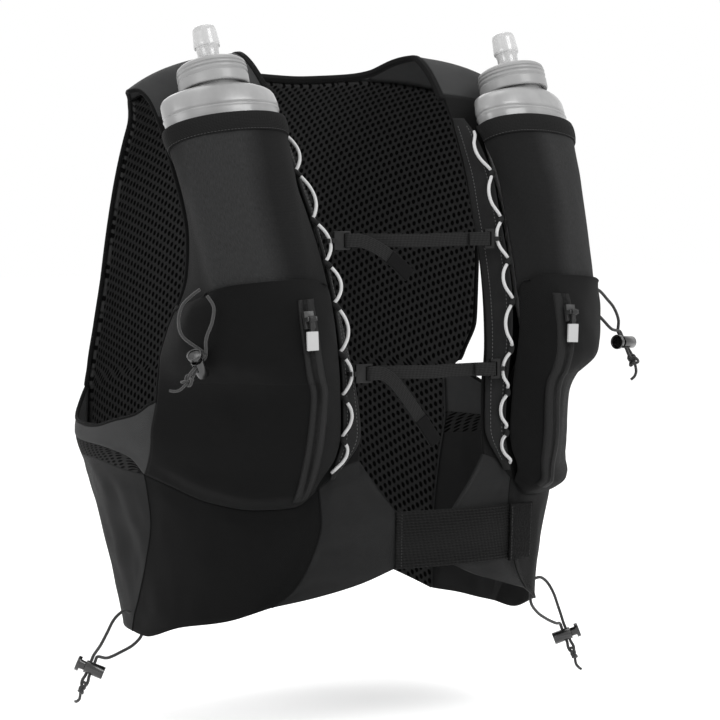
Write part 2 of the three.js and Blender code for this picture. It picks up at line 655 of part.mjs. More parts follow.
// Pocket cloth drawn taut round a flask from the tape side (u 0) to the armhole edge (u 1)
const pocketSpan = { mouth: 0.119, seam: 0.412, hidden: 0.515, foot: 0.575, arcFrom: 0.10, arcTo: 0.76 };
function pocketPoint(sign, u, drop, extra) {
  const held = Math.min(drop, pocketSpan.hidden);
  const tuck = THREE.MathUtils.smoothstep(drop, pocketSpan.seam - 0.02, pocketSpan.seam + 0.02);
  const { centre, across, fore, lean } = flaskFrame(sign, held);
  centre.z -= (drop - held) * vest.height;
  const anchor = () => {
    const share = 0.83;
    const behind = onBody(sign * share * vest.halfWidth, pathAt(share * vest.halfWidth, centre.z), 0);
    const z = centre.z - Math.tan(lean) * (behind.y - centre.y);
    const path = pathAt(share * vest.halfWidth, z);
    const wide = outerEdge(path) - 0.008 - 0.035 * tuck;
    return onBody(sign * wide * vest.halfWidth, path, cloth.thick + GAP + extra);
  };
  const tapeSide = () => {
    const point = laceCrest(sign, -centre.z / vest.height);
    point.x += sign * (tape.thick + 0.4 + 5 * tuck);
    point.y += 4 * tuck;
    return point.addScaledVector(fore, extra);
  };
  const flat = THREE.MathUtils.smoothstep(drop, pocketSpan.hidden + 0.005, pocketSpan.foot);
  const rim = (turn) => {
    const point = flaskPoint(sign, held, turn, pocket.slack + extra);
    point.z -= (drop - held) * vest.height;
    return point;
  };
  const touch = (from, side) => {
    let best = 0;
    let most = -Infinity;
    for (let k = -60; k <= 60; k += 1) {
      const turn = THREE.MathUtils.degToRad(side > 0 ? k : 180 - k);
      const way = rim(turn).sub(from);
      const angle = Math.atan2(way.dot(fore), -side * way.dot(across));
      if (angle > most) {
        most = angle;
        best = turn;
      }
    }
    return best;
  };
  const near = tapeSide();
  const far = anchor();
  const turnNear = touch(near, -1);
  const turnFar = touch(far, 1);
  let taut;
  if (u < pocketSpan.arcFrom) taut = near.clone().lerp(rim(turnNear), u / pocketSpan.arcFrom);
  else if (u > pocketSpan.arcTo) {
    taut = rim(turnFar).lerp(far, (u - pocketSpan.arcTo) / (1 - pocketSpan.arcTo));
  } else {
    const share = (u - pocketSpan.arcFrom) / (pocketSpan.arcTo - pocketSpan.arcFrom);
    taut = rim(THREE.MathUtils.lerp(turnNear, turnFar, share));
  }
  const x = Math.abs(THREE.MathUtils.lerp(near.x, far.x, u));
  const low = onBody(sign * x, pathAt(x, taut.z), cloth.thick + GAP + extra);
  return taut.lerp(low, flat);
}
function flaskPocket({ word, sign }) {
  const { mouth, foot } = pocketSpan;
  const stops = [0, 0.064, 0.20, 0.34, 0.48, 0.62, 0.75, 0.835, 0.89, 1];
  const face = (extra) => (u, v) => {
    const at = v * (stops.length - 1);
    const k = Math.min(Math.floor(at), stops.length - 2);
    const share = THREE.MathUtils.lerp(stops[k], stops[k + 1], at - k);
    return pocketPoint(sign, u, THREE.MathUtils.lerp(mouth, foot, share), extra);
  };
  add(`flask_pocket_${word}`, shell(face(cloth.pocket), face(0), 18, 9), 'dark');
  const low = cloth.pocket + GAP;
  const hem = (extra) => (u, v) => (
    pocketPoint(sign, u, mouth + v * pocket.hemHeight / vest.height, extra)
  );
  add(`pocket_hem_${word}`, shell(hem(low + pocket.hemThick), hem(low), 18, 1), 'stretch');
}

// Zip pocket over the flask pocket. Rows run from the foot seam (0) to the upper seam (1); the
// columns give how proud the cloth stands at five places from the tape to the armhole edge, as
// shares of pocket.zipLift.
const zipRows = [
  { up: 0.000, tape: 0.042, zip: 0.042, front: 0.042, flank: 0.042, rear: 0.042, edge: 0.042 },
  { up: 0.035, tape: 0.060, zip: 0.24, front: 0.20, flank: 0.090, rear: 0.050, edge: 0.045 },
  { up: 0.100, tape: 0.120, zip: 0.42, front: 0.35, flank: 0.180, rear: 0.090, edge: 0.050 },
  { up: 0.200, tape: 0.160, zip: 0.46, front: 0.32, flank: 0.140, rear: 0.075, edge: 0.060 },
  { up: 0.350, tape: 0.190, zip: 0.54, front: 0.36, flank: 0.150, rear: 0.085, edge: 0.076 },
  { up: 0.560, tape: 0.200, zip: 0.64, front: 0.45, flank: 0.230, rear: 0.130, edge: 0.076 },
  { up: 0.730, tape: 0.220, zip: 0.75, front: 0.64, flank: 0.420, rear: 0.250, edge: 0.076 },
  { up: 0.830, tape: 0.300, zip: 0.82, front: 0.86, flank: 0.680, rear: 0.440, edge: 0.100 },
  { up: 0.900, tape: 0.370, zip: 0.84, front: 0.88, flank: 0.760, rear: 0.540, edge: 0.100 },
  { up: 0.965, tape: 0.440, zip: 0.84, front: 0.88, flank: 0.820, rear: 0.600, edge: 0.100 },
  { up: 1.000, tape: 0.450, zip: 0.80, front: 0.84, flank: 0.820, rear: 0.600, edge: 0.100 },
];
const zipPlaces = { tape: 0, zip: 0.15, front: 0.40, flank: 0.66, rear: 0.85, edge: 1 };
const zipSpan = { foot: 0.31, top: 1.15, hug: 0.02 };
const zipColumns = Object.keys(zipPlaces).map((name) => column(zipRows, 'up', name));
function zipProud(u, v) {
  const rows = Object.values(zipPlaces).map((place, k) => ({ place, lift: zipColumns[k](v) }));
  return column(rows, 'place', 'lift')(u) * pocket.zipLift;
}
const zipFoot = (u) => footSeam(THREE.MathUtils.lerp(zipSpan.foot, 1, u));
const zipTape = seam([zipFoot(0), [0.418, 0.69], [0.405, 0.80], [0.388, 0.984], [0.413, 1.070], [0.440, 1.15]]);
const zipMap = patch(zipFoot, straight([0.440, 1.15], [outerEdge(1.15), 1.15]), zipTape,
  (v) => {
    const path = THREE.MathUtils.lerp(station.colourEnd, zipSpan.top, v);
    return [outerEdge(path), path];
  });
function zipPoint(sign, u, v, extra) {
  const [x, path] = zipMap(u, v);
  const wide = (at) => sign * (at - 0.008 * u) * vest.halfWidth;
  const point = proud(wide(x), path, zipProud(u, v) + extra);
  const [nearX, nearPath] = zipMap(0, v);
  const start = proud(wide(nearX), nearPath, zipProud(0, v));
  const crest = laceCrest(sign, -start.z / vest.height);
  crest.x += sign * (tape.thick + 0.4);
  crest.y -= pocket.lap;
  const pullIn = 1 - THREE.MathUtils.smoothstep(u, 0, zipPlaces.zip);
  point.addScaledVector(crest.sub(start).setZ(0), pullIn * THREE.MathUtils.smoothstep(v, 0.05, 0.25));
  const seat = pocketPoint(sign, THREE.MathUtils.lerp(zipSpan.hug, 1, u), pocketSpan.seam - 0.02,
    cloth.pocket + pocket.lap + extra);
  return point.lerp(seat, THREE.MathUtils.smoothstep(v, 0.95, 1));
}
const zipHalf = zip.width / 180;
const zipAcross = [
  0, 0.05, zipPlaces.zip - zipHalf, zipPlaces.zip, zipPlaces.zip + zipHalf,
  0.27, 0.36, 0.46, 0.56, 0.66, 0.76, 0.85, 0.93, 1,
];
const zipStops = [0, 0.02, 0.06, 0.14, 0.28, 0.44, 0.60, 0.73, 0.83, 0.90, 0.95, 0.98, 1];
function stopAt(stops, t) {
  const at = t * (stops.length - 1);
  const k = Math.min(Math.floor(at + 1e-9), stops.length - 2);
  return THREE.MathUtils.lerp(stops[k], stops[k + 1], at - k);
}
function zipPocket({ word, sign }) {
  const face = (extra) => (u, v) => zipPoint(sign, stopAt(zipAcross, u), stopAt(zipStops, v), extra);
  add(`zip_pocket_${word}`, shell(face(cloth.pocket), face(0), zipAcross.length - 1, zipStops.length - 1), 'dark');
}

// Manifold solids for the hard pieces, placed by an origin and three axes
const { Manifold } = wasm;
function placed(solid, origin, xAxis, yAxis, zAxis) {
  const columns = [xAxis, yAxis, zAxis, origin].flatMap((axis) => axis.toArray());
  return solid.transform([0, 1, 2, 3].flatMap((k) => [...columns.slice(3 * k, 3 * k + 3), k === 3 ? 1 : 0]));
}
function solidGeometry(solid) {
  const { vertProperties, triVerts, numProp } = solid.getMesh();
  const positions = [];
  for (let i = 0; i < vertProperties.length; i += numProp) positions.push(...vertProperties.slice(i, i + 3));
  const geometry = new THREE.BufferGeometry();
  geometry.setAttribute('position', new THREE.Float32BufferAttribute(positions, 3));
  geometry.setIndex(Array.from(triVerts));
  return mergeVertices(geometry, 1e-4);
}
const block = (size, centre) => Manifold.cube(size, true).translate(centre);
const rod = (radius, length, centre, steps) => (
  Manifold.cylinder(length, radius, radius, steps, true).translate(centre)
);
export const joints = {};

// Zip on the pocket's front, its slider and the pull that hangs from the slider's bar
const zipRun = { from: 0.05, to: 0.96, slider: 0.915 };
function zipStrip({ word, sign }) {
  const low = cloth.pocket + GAP;
  const run = zipStops.filter((v) => v > zipRun.from && v < zipRun.to);
  const across = [zipPlaces.zip - zipHalf, zipPlaces.zip, zipPlaces.zip + zipHalf];
  const face = (extra) => (u, v) => zipPoint(sign, stopAt(across, u), stopAt(run, v), extra);
  add(`zip_${word}`, shell(face(low + zip.thick), face(low), 2, run.length - 1), 'dark');
}
function sliderFrame(sign) {
  const at = (u, v) => zipPoint(sign, u, v, cloth.pocket + GAP + zip.thick + GAP);
  const { zip: place } = zipPlaces;
  const origin = at(place, zipRun.slider);
  const up = at(place, zipRun.slider + 0.02).sub(at(place, zipRun.slider - 0.04)).normalize();
  const wide = at(place + 0.03, zipRun.slider).sub(at(place - 0.03, zipRun.slider));
  const out = wide.cross(up).normalize();
  if (out.y > 0) out.negate();
  return { origin, up, out, wide: up.clone().cross(out).normalize() };
}
function zipSlider({ word, sign }) {
  const { origin, up, out, wide } = sliderFrame(sign);
  const { length, width, height, barRadius, barRise, cheek } = slider;
  const barHeight = height + barRise;
  const body = block([width, length, height], [0, 0, height / 2 + 0.4]);
  const cheeks = [-1, 1].map((end) => block([cheek, 3, barHeight + 1], [
    end * (width - cheek) / 2, 0, (barHeight + 1) / 2 + 0.6,
  ]));
  const bar = rod(barRadius, width - cheek / 2, [0, 0, 0], 10).rotate([0, 90, 0])
    .translate([0, 0, barHeight + 0.4]);
  const solid = body.add(cheeks[0]).add(cheeks[1]).add(bar);
  add(`zip_slider_${word}`, solidGeometry(placed(solid, origin, wide, up, out)), 'metal');
  const pivot = origin.clone().addScaledVector(out, barHeight + 0.4);
  const hole = barRadius + pull.eyeFit;
  const eyeWide = width - 2 * cheek - 2 * GAP - 0.2;
  const reach = pull.link + pull.tab;
  const eye = rod(pull.eyeRadius, eyeWide, [0, 0, 0], 14).rotate([0, 90, 0]);
  const link = block([eyeWide * 0.7, pull.link, pull.thick], [0, -pull.link / 2, 0]);
  const tab = block([pull.width, pull.tab, pull.thick], [0, -pull.link - pull.tab / 2 + 0.5, 0]);
  const tag = eye.add(link).add(tab).subtract(rod(hole, eyeWide + 1, [0, 0, 0], 14).rotate([0, 90, 0]));
  const hang = new THREE.Vector3(0, 0, 1).addScaledVector(wide, -wide.z).normalize();
  const face = wide.clone().cross(hang).normalize();
  add(`zip_pull_${word}`, solidGeometry(placed(tag, pivot, wide, hang, face)), 'pull');
  joints[`zip_pull_${word}`] = { pivot, axis: wide, reach };
}

// Round cord along points, smoothed between them
function tube(points, radius, sides_, steps) {
  const curve = new THREE.CatmullRomCurve3(points, false, 'centripetal');
  const along = curve.getSpacedPoints(steps);
  let normal = new THREE.Vector3(0.3, 0.2, 1);
  const rings = along.map((point, i) => {
    const tangent = along[Math.min(i + 1, steps)].clone().sub(along[Math.max(i - 1, 0)]).normalize();
    normal = normal.clone().addScaledVector(tangent, -normal.dot(tangent)).normalize();
    const other = tangent.clone().cross(normal);
    return ringOf(sides_, (a) => point.clone()
      .addScaledVector(normal, radius * Math.cos(a)).addScaledVector(other, radius * Math.sin(a)));
  });
  return ringStack(rings);
}

// Lace: arcs towards the gap between eyelets on the lace line, given as drops
const eyelets = [0.124, 0.194, 0.275, 0.346, 0.415, 0.497, 0.570, 0.640, 0.700];
const arcShape = [[0, 0], [0.13, 0.1], [0.30, 0.75], [0.5, 1], [0.7, 0.75], [0.87, 0.1]];
function lacePoint(sign, drop, inward) {
  const { crest, face } = tapeFrame(sign, drop);
  const point = crest.addScaledVector(face, tape.thick + lace.stand + lace.diameter / 2);
  point.x -= sign * inward;
  return point;
}
function laceCord({ word, sign }) {
  const points = [];
  for (let k = 0; k + 1 < eyelets.length; k += 1) {
    arcShape.forEach(([share, out]) => {
      points.push(lacePoint(sign, THREE.MathUtils.lerp(eyelets[k], eyelets[k + 1], share), lace.arc * out));
    });
  }
  points.push(lacePoint(sign, eyelets[eyelets.length - 1], 0));
  add(`lace_${word}`, tube(points, lace.diameter / 2, 5, 50), 'lace');
}
const arcTop = (sign, k) => lacePoint(sign, (eyelets[k] + eyelets[k + 1]) / 2, lace.arc);

// Clip on a lace arc: a jaw round the lace and a plate with a bar for the strap
function laceClip(name, sign, seat, { length, width, thick }) {
  const bore = lace.diameter / 2 + GAP + clip.slack;
  const rim = bore + clip.wire;
  const plate = block([length - rim + 0.6, thick, width], [(length + rim - 0.6) / 2, 0, 0]);
  const slot = block([clip.slot, thick + 1, strap.width + 2 * GAP], [length - clip.bar - clip.slot / 2, 0, 0]);
  const jaw = rod(rim, clip.jaw, [0, 0, 0], 18);
  const hollow = rod(bore, clip.jaw + 1, [0, 0, 0], 18);
  const mouth = block([clip.mouth, rim + 1, clip.jaw + 1], [-0.6, -(rim + 1) / 2, 0]);
  const neck = block([rim + 1, thick, clip.jaw], [rim / 2 + 0.5, 0, 0]);
  const solid = plate.subtract(slot).add(jaw).add(neck).subtract(hollow).subtract(mouth);
  const inward = new THREE.Vector3(-sign, 0, 0);
  const back = new THREE.Vector3(0, 1, 0);
  const up = inward.clone().cross(back);
  add(name, solidGeometry(placed(solid, seat, inward, back, up)), 'plastic');
}

// Flat webbing along points; each point has its own width direction
function ribbon(stations, width, thick) {
  const rings = stations.map(({ point, across }, i) => {
    const before = stations[Math.max(i - 1, 0)].point;
    const after = stations[Math.min(i + 1, stations.length - 1)].point;
    const tangent = after.clone().sub(before).normalize();
    const wide = across.clone().addScaledVector(tangent, -across.dot(tangent)).normalize();
    const out = tangent.clone().cross(wide);
    return [[1, 1], [-1, 1], [-1, -1], [1, -1]].map(([a, b]) => point.clone()
      .addScaledVector(wide, a * width / 2).addScaledVector(out, b * thick / 2));
  });
  return ringStack(rings);
}
// The strap runs behind both bars; it is turned back round them, short at the buckle and as a
// hanging tail at the hook. The tail's points are offsets from the hook's bar, in x, y and z.
function chestStrap(name, arc, tail) {
  const right = arcTop(-1, arc);
  const left = arcTop(1, arc);
  const bend = clip.bar / 2 + GAP + strap.thick / 2 + 0.95;
  const up = new THREE.Vector3(0, 0, 1);
  const rear = (x) => new THREE.Vector3(x, right.y + bend, right.z);
  const hookX = right.x + hook.length - clip.bar / 2;
  const buckleX = left.x - buckle.length + clip.bar / 2;
  const turn = (x, way, from, to) => Array.from({ length: 6 }, (_, i) => {
    const a = THREE.MathUtils.degToRad(THREE.MathUtils.lerp(from, to, i / 5));
    return new THREE.Vector3(x + way * bend * Math.sin(a), right.y + bend * Math.cos(a), right.z);
  });
  const stations = [];
  const put = (point, across = up) => stations.push({ point, across });
  put(new THREE.Vector3(buckleX - 13, right.y + bend - strap.thick - 2 * GAP, right.z));
  put(new THREE.Vector3(buckleX - 5, right.y - bend * 0.7, right.z));
  turn(buckleX, 1, 180, 0).forEach((point) => put(point));
  put(rear(buckleX - 30));
  put(rear((hookX + buckleX) / 2));
  put(rear(hookX + 30));
  turn(hookX, -1, 0, 180).forEach((point) => put(point));
  tail.forEach(([x, y, z, lean]) => put(
    new THREE.Vector3(hookX + x, right.y + y, right.z + z),
    new THREE.Vector3(Math.sin(THREE.MathUtils.degToRad(lean)), 0, Math.cos(THREE.MathUtils.degToRad(lean))),
  ));
  add(name, ribbon(stations, strap.width, strap.thick), 'webbing');
}
const tails = {
  upper: [[6, -3.2, 0, 0], [14, -3.8, -2, 14], [26, -4.5, -8, 28], [38, -5, -17, 38], [47, -5.5, -25, 44]],
  lower: [[6, -3.2, 0, 0], [13, -3.8, -3, 22], [22, -4.5, -12, 44], [34, -5, -27, 48], [51, -5.5, -50, 52]],
};

// Elastic band across the waist with its closing tab
function waistband() {
  const patchOn = (x0, x1, top, height, low, thick, nu) => {
    const face = (lift) => (u, v) => onBody(
      THREE.MathUtils.lerp(x0, x1, u), pathAt(0, -top - height * (1 - v)), lift);
    return shell(face(low + thick), face(low), nu, 2);
  };
  const low = cloth.thick + GAP;
  add('waistband', patchOn(-band.startX, band.endX, band.top, band.height, low, band.thick, 12), 'webbing');
  const over = low + band.thick + GAP;
  add('waistband_tab', patchOn(band.tabX, band.tabX + band.tabWidth, band.top, band.tabHeight, over,
    band.tabThick, 4), 'webbing');
}

// Pole cords: a loop through a barrel lock. The seat is where the two strands cross the barrel;
// out is the button's direction, run the cord's direction through the barrel.
const poleCords = [
  {
    name: 'chest_right', seat: [-172.5, -114, -211], out: [-0.566, -0.381, 0.732], run: [-0.25, 0, -1],
    near: [[-168, -118, -164.2], [-165.3, -122, -171.6], [-167, -123, -181.7], [-170.5, -121, -193]],
    far: [[-166.9, -106, -160.3], [-171, -102, -164.5], [-178.1, -101, -171.4], [-181.4, -102, -182.9],
      [-179.9, -105, -192]],
  },
  {
    name: 'chest_left', seat: [197, -99, -206.3], out: [-0.93, -0.36, 0.05], run: [0.51, -0.32, -0.8],
    near: [[172.6, -95.4, -183.2], [179.4, -96, -189.3], [186, -98, -196.2]],
    far: [[165.5, -99.8, -164.5], [175.2, -98, -168], [182.6, -97, -174.1], [189.1, -97, -180.9],
      [193.2, -97, -190]],
  },
  {
    name: 'hem_right', seat: [-197.1, 0, -431], out: [-0.78, 0.49, 0.38], run: [-0.42, 0.26, -0.85],
    near: [[-154.6, 2, -403.6], [-155, 2, -411], [-161, 2.5, -417.2], [-171, 2, -421.5], [-183, 1, -425]],
    far: [[-161.1, 8, -394.6], [-165.4, 7.5, -393], [-170.6, 7, -395.4], [-176.3, 5, -399.6], [-181.7, 4, -407.7],
      [-187.5, 3, -416]],
  },
  {
    name: 'hem_left', seat: [182.2, -47, -429.2], out: [0.763, -0.477, 0.35], run: [0.25, -0.16, -0.95],
    near: [[139.2, -61.8, -392.5], [139.8, -61.3, -400.5], [147.5, -58, -408.5], [159.7, -54, -415.4],
      [170, -51, -419.5]],
    far: [[155, -43.8, -385.5], [161, -43.5, -385], [167.4, -43, -389.1], [172.7, -44, -397.7], [176.2, -45, -407.7],
      [178.5, -46, -415]],
  },
];
function poleCord({ name, seat, out, run, near, far }) {
  const origin = new THREE.Vector3(...seat);
  const axis = new THREE.Vector3(...out).normalize();
  const through = new THREE.Vector3(...run);
  through.addScaledVector(axis, -through.dot(axis)).normalize();
  const side = axis.clone().cross(through).normalize();
  const apart = cord.diameter / 2 + 0.2;
  const at = (along, rise, aside) => origin.clone().addScaledVector(through, along)
    .addScaledVector(axis, rise).addScaledVector(side, aside);
  const order = (rows) => rows.map((row) => new THREE.Vector3(...row));
  const farRise = apart;
  const points = [
    ...order(near), at(-9, -farRise, 0), at(-6, -farRise, 0), at(0, -farRise, 0), at(6, -farRise, 0),
    at(10, -farRise * 1.5, 0), at(13, -farRise * 1.1, 0), at(14.4, 0, 0), at(13, farRise * 1.1, 0),
    at(10, farRise * 1.5, 0), at(6, farRise, 0), at(0, farRise, 0), at(-6, farRise, 0), at(-9, farRise, 0),
    ...order(far).reverse(),
  ];
  add(`pole_cord_${name}`, tube(points, cord.diameter / 2, 5, 38), 'cord');
  const { radius, length, wall, floor, holeHeight, travel, flare, flareThick, boreFit } = lock;
  const bore = radius - wall;
  const slotHigh = 2 * apart + cord.diameter + 2 * GAP + 0.4;
  const slotWide = cord.diameter + 2 * GAP + 0.4;
  const lower = -holeHeight;
  const barrel = rod(radius, length, [0, 0, lower + length / 2], 20)
    .subtract(rod(bore, length, [0, 0, lower + length / 2 + floor], 20))
    .subtract(block([slotWide, 2 * radius + 2, slotHigh], [0, 0, 0]));
  const stem = { from: lower + floor + travel + 0.6, to: lower + length + travel + GAP };
  const stemHigh = stem.to - stem.from;
  const button = rod(bore - boreFit, stemHigh, [0, 0, stem.from + stemHigh / 2], 18)
    .add(rod(flare, flareThick, [0, 0, stem.to + flareThick / 2 - 0.01], 18))
    .subtract(block([slotWide, 2 * radius, slotHigh + travel], [0, 0, travel / 2]));
  add(`cord_lock_${name}`, solidGeometry(placed(barrel, origin, side, through, axis)), 'plastic');
  add(`lock_button_${name}`, solidGeometry(placed(button, origin, side, through, axis)), 'plastic');
  joints[`lock_button_${name}`] = { pivot: origin, axis };
}

for (const side of sides) {
  frontCloth(side);
  lowerCloth(side);
  edgeTape(side);
  softFlask(side);
  flaskCap(side);
  flaskPocket(side);
  zipPocket(side);
  zipStrip(side);
  zipSlider(side);
  laceCord(side);
}
backCloth();
neckBinding();
waistband();
[['upper', 2], ['lower', 5]].forEach(([word, arc]) => {
  laceClip(`strap_hook_${word}`, -1, arcTop(-1, arc), hook);
  laceClip(`strap_buckle_${word}`, 1, arcTop(1, arc), buckle);
  chestStrap(`chest_strap_${word}`, arc, tails[word]);
});
poleCords.forEach(poleCord);

export default vestGroup;
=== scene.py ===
"""Running hydration vest: cloth, pockets, flasks, laces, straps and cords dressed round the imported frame."""

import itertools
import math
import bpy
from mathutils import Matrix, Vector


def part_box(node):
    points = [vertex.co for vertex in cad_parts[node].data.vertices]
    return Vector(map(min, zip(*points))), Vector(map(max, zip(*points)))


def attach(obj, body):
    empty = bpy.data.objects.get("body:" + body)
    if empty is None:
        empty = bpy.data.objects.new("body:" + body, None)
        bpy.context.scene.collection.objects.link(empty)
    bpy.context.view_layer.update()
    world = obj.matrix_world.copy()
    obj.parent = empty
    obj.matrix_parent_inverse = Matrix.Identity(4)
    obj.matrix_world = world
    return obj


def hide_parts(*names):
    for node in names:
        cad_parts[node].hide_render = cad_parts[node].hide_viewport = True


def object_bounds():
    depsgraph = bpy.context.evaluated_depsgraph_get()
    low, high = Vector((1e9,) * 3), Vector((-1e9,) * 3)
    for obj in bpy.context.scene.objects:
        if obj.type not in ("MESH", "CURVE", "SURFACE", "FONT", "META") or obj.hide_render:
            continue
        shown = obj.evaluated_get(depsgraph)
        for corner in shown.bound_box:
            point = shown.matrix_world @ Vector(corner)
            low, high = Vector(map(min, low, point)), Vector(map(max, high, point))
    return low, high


bl_info = {
    "name": "Running hydration vest",
    "version": (1, 0, 0),
    "blender": (4, 5, 0),
    "location": "View3D > Sidebar > Vest",
    "description": "Builds a running hydration vest with soft flasks round its CAD frame",
    "category": "Object",
}

import bmesh
import bpy
import numpy as np
from bpy.props import FloatProperty, FloatVectorProperty, PointerProperty
from mathutils import Matrix

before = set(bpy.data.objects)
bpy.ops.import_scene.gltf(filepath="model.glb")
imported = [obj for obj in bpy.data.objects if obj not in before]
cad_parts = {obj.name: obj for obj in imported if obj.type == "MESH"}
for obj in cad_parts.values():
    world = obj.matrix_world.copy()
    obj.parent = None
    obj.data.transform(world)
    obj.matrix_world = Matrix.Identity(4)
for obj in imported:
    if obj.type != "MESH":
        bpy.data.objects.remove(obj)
CAD_BOX = [[float(value) for value in corner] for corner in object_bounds()]
MM = 0.001
SIDES = (("right", -1), ("left", 1))

# Camera in millimetres and degrees; lights and floor in metres
CAMERA = dict(azimuth=-32, elevation=3.24, distance=2447, pixels_per_mm=1.3713, target=(0, -25, -216.4),
              right=10.47, up=-0.88)
PICTURE, SENSOR = 720, 36
LIGHTS = (("key_light", (0.6, -1.9, 1.4), 1.2, 26), ("fill_light", (-2.2, -0.6, 0.6), 1.2, 14),
          ("back_light", (0.5, 1.8, 1.0), 1.4, 8), ("top_light", (0, 0.1, 1.9), 1.2, 10))
LIT_POINT, FLOOR_DROP, FLOOR_REACH = (0, 0, -0.2), 0.03, 9

# Form of the vest in millimetres, the same values as the solids
GAP = 0.3
HEIGHT, HALF_WIDTH, FRONT_DEPTH, BACK_DEPTH = 412, 187, 127, 123
CHEST_DROP, CROWN, SHOULDER_FALL, SHOULDER_HALF = 225, 4.6, 30, 165
CLOTH, POCKET_CLOTH = 2.0, 1.6
FLASK = dict(half_width=42, half_depth=21.5, yaw=13, cap=25, cap_height=19, valve=9, valve_height=29,
             top=0.058)
RINGS = dict(up=[0, .17, .38, .60, .78, 1], width=[.835, .850, .885, .945, 1, .990],
             front=[.984, 1, 1.016, 1.020, 1.016, .992], back=[.772, .821, .886, .951, 1, 1.008],
             middle=[0, .016, .041, .073, .106, .106])
OUTER = dict(path=[.520, .647, .781, .930, 1.056, 1.103, 1.167, 1.225, 1.298, 1.401, 1.460, 1.500, 1.560,
                   1.624],
             x=[.910, .920, .925, .909, .898, .877, .818, .800, .813, .829, .850, .872, .850, .795])
INNER = dict(path=[.700, .800, 1, 1.077, 1.180, 1.264, 1.376, 1.500, 1.560, 1.624],
             x=[.278, .273, .289, .316, .358, .380, .406, .417, .380, .321])
BACK = dict(path=[1.624, 1.706, 1.803, 1.901, 1.960, 2, 2.060],
            right=[.795, .738, .741, .752, .785, .822, .843],
            left=[.795, .846, .890, .912, .916, .885, .843])
TAPE = dict(drop=[.100, .124, .194, .265, .330, .405, .483, .553, .636, .716],
            edge=[.404, .396, .384, .364, .355, .340, .318, .292, .276, .385],
            lace=[.440, .446, .447, .431, .418, .407, .392, .374, .366, .412],
            fore=[.450, .543, .717, .838, .937, 1.018, 1.048, 1.035, 1.020, .985])
FLASK_FORM = dict(drop=[.058, .070, .080, .090, .117, .170, .265, .364, .461, .505, .520],
                  x=[.679, .679, .679, .679, .679, .674, .663, .650, .642, .639, .636],
                  fore=[.449, .472, .488, .504, .547, .626, .756, .866, .945, .969, .976],
                  width=[.530, .660, .886, 1, .975, .924, .860, .848, .797, .633, .354],
                  depth=[.950, .955, 1.020, 1.045, 1, .930, .886, .864, .773, .500, .227],
                  lean=[20, 21, 22, 23, 24, 23, 20, 18, 14, 12, 12])
FLASK_SHOULDER = [(41.6, 22.2, -10), (41.0, 22.1, -7.6), (39.6, 21.9, -5.4), (37.0, 21.6, -3.6),
                  (33.0, 21.3, -2.3), (27.5, 21.1, -1.4), (22.5, 20.9, -.9), (20.9, 20.9, -.7),
                  (20.9, 20.9, 4), (20.9, 20.9, 13.9), (20.2, 20.2, 14)]
ZIP_FORM = dict(up=[0, .035, .100, .200, .350, .560, .730, .830, .900, .965, 1],
                tape=[.042, .060, .120, .160, .190, .200, .220, .300, .370, .440, .450],
                zip=[.042, .24, .42, .46, .54, .64, .75, .82, .84, .84, .80],
                front=[.042, .20, .35, .32, .36, .45, .64, .86, .88, .88, .84],
                flank=[.042, .090, .180, .140, .150, .230, .420, .680, .760, .820, .820],
                rear=[.042, .050, .090, .075, .085, .130, .250, .440, .540, .600, .600],
                edge=[.042, .045, .050, .060, .076, .076, .076, .100, .100, .100, .100])
ZIP_PLACES = dict(tape=0, zip=.15, front=.40, flank=.66, rear=.85, edge=1)
ZIP_LIFT, ZIP_TOP, ZIP_FOOT, ZIP_LAP = 55, 1.15, 0.31, 2
MOUTH, SEAM, HIDDEN, FOOT, ARC_FROM, ARC_TO = .119, .412, .515, .575, .10, .76
HEM_HEIGHT = 12
EYELETS = [.124, .194, .275, .346, .415, .497, .570, .640, .700]
LACE, LACE_ARC, LACE_STAND, TAPE_THICK, TAPE_BULGE = 2.4, 5.5, 0.8, 1.8, 1.2
STRAP = dict(width=9.5, thick=1.3, bar=2, hook=16, buckle=11)
BAND = dict(height=40, top=318, start=-20.3, end=96, tab=76, tab_width=25, tab_height=41, thick=2.2)
BAND_LAP = 4
CORD, BUTTON_TOP, KNOT_LOBE = 2.3, 9.8, 1.45
MESH_PITCH = (0.0038, 0.0067)
PULL_TAB = 13
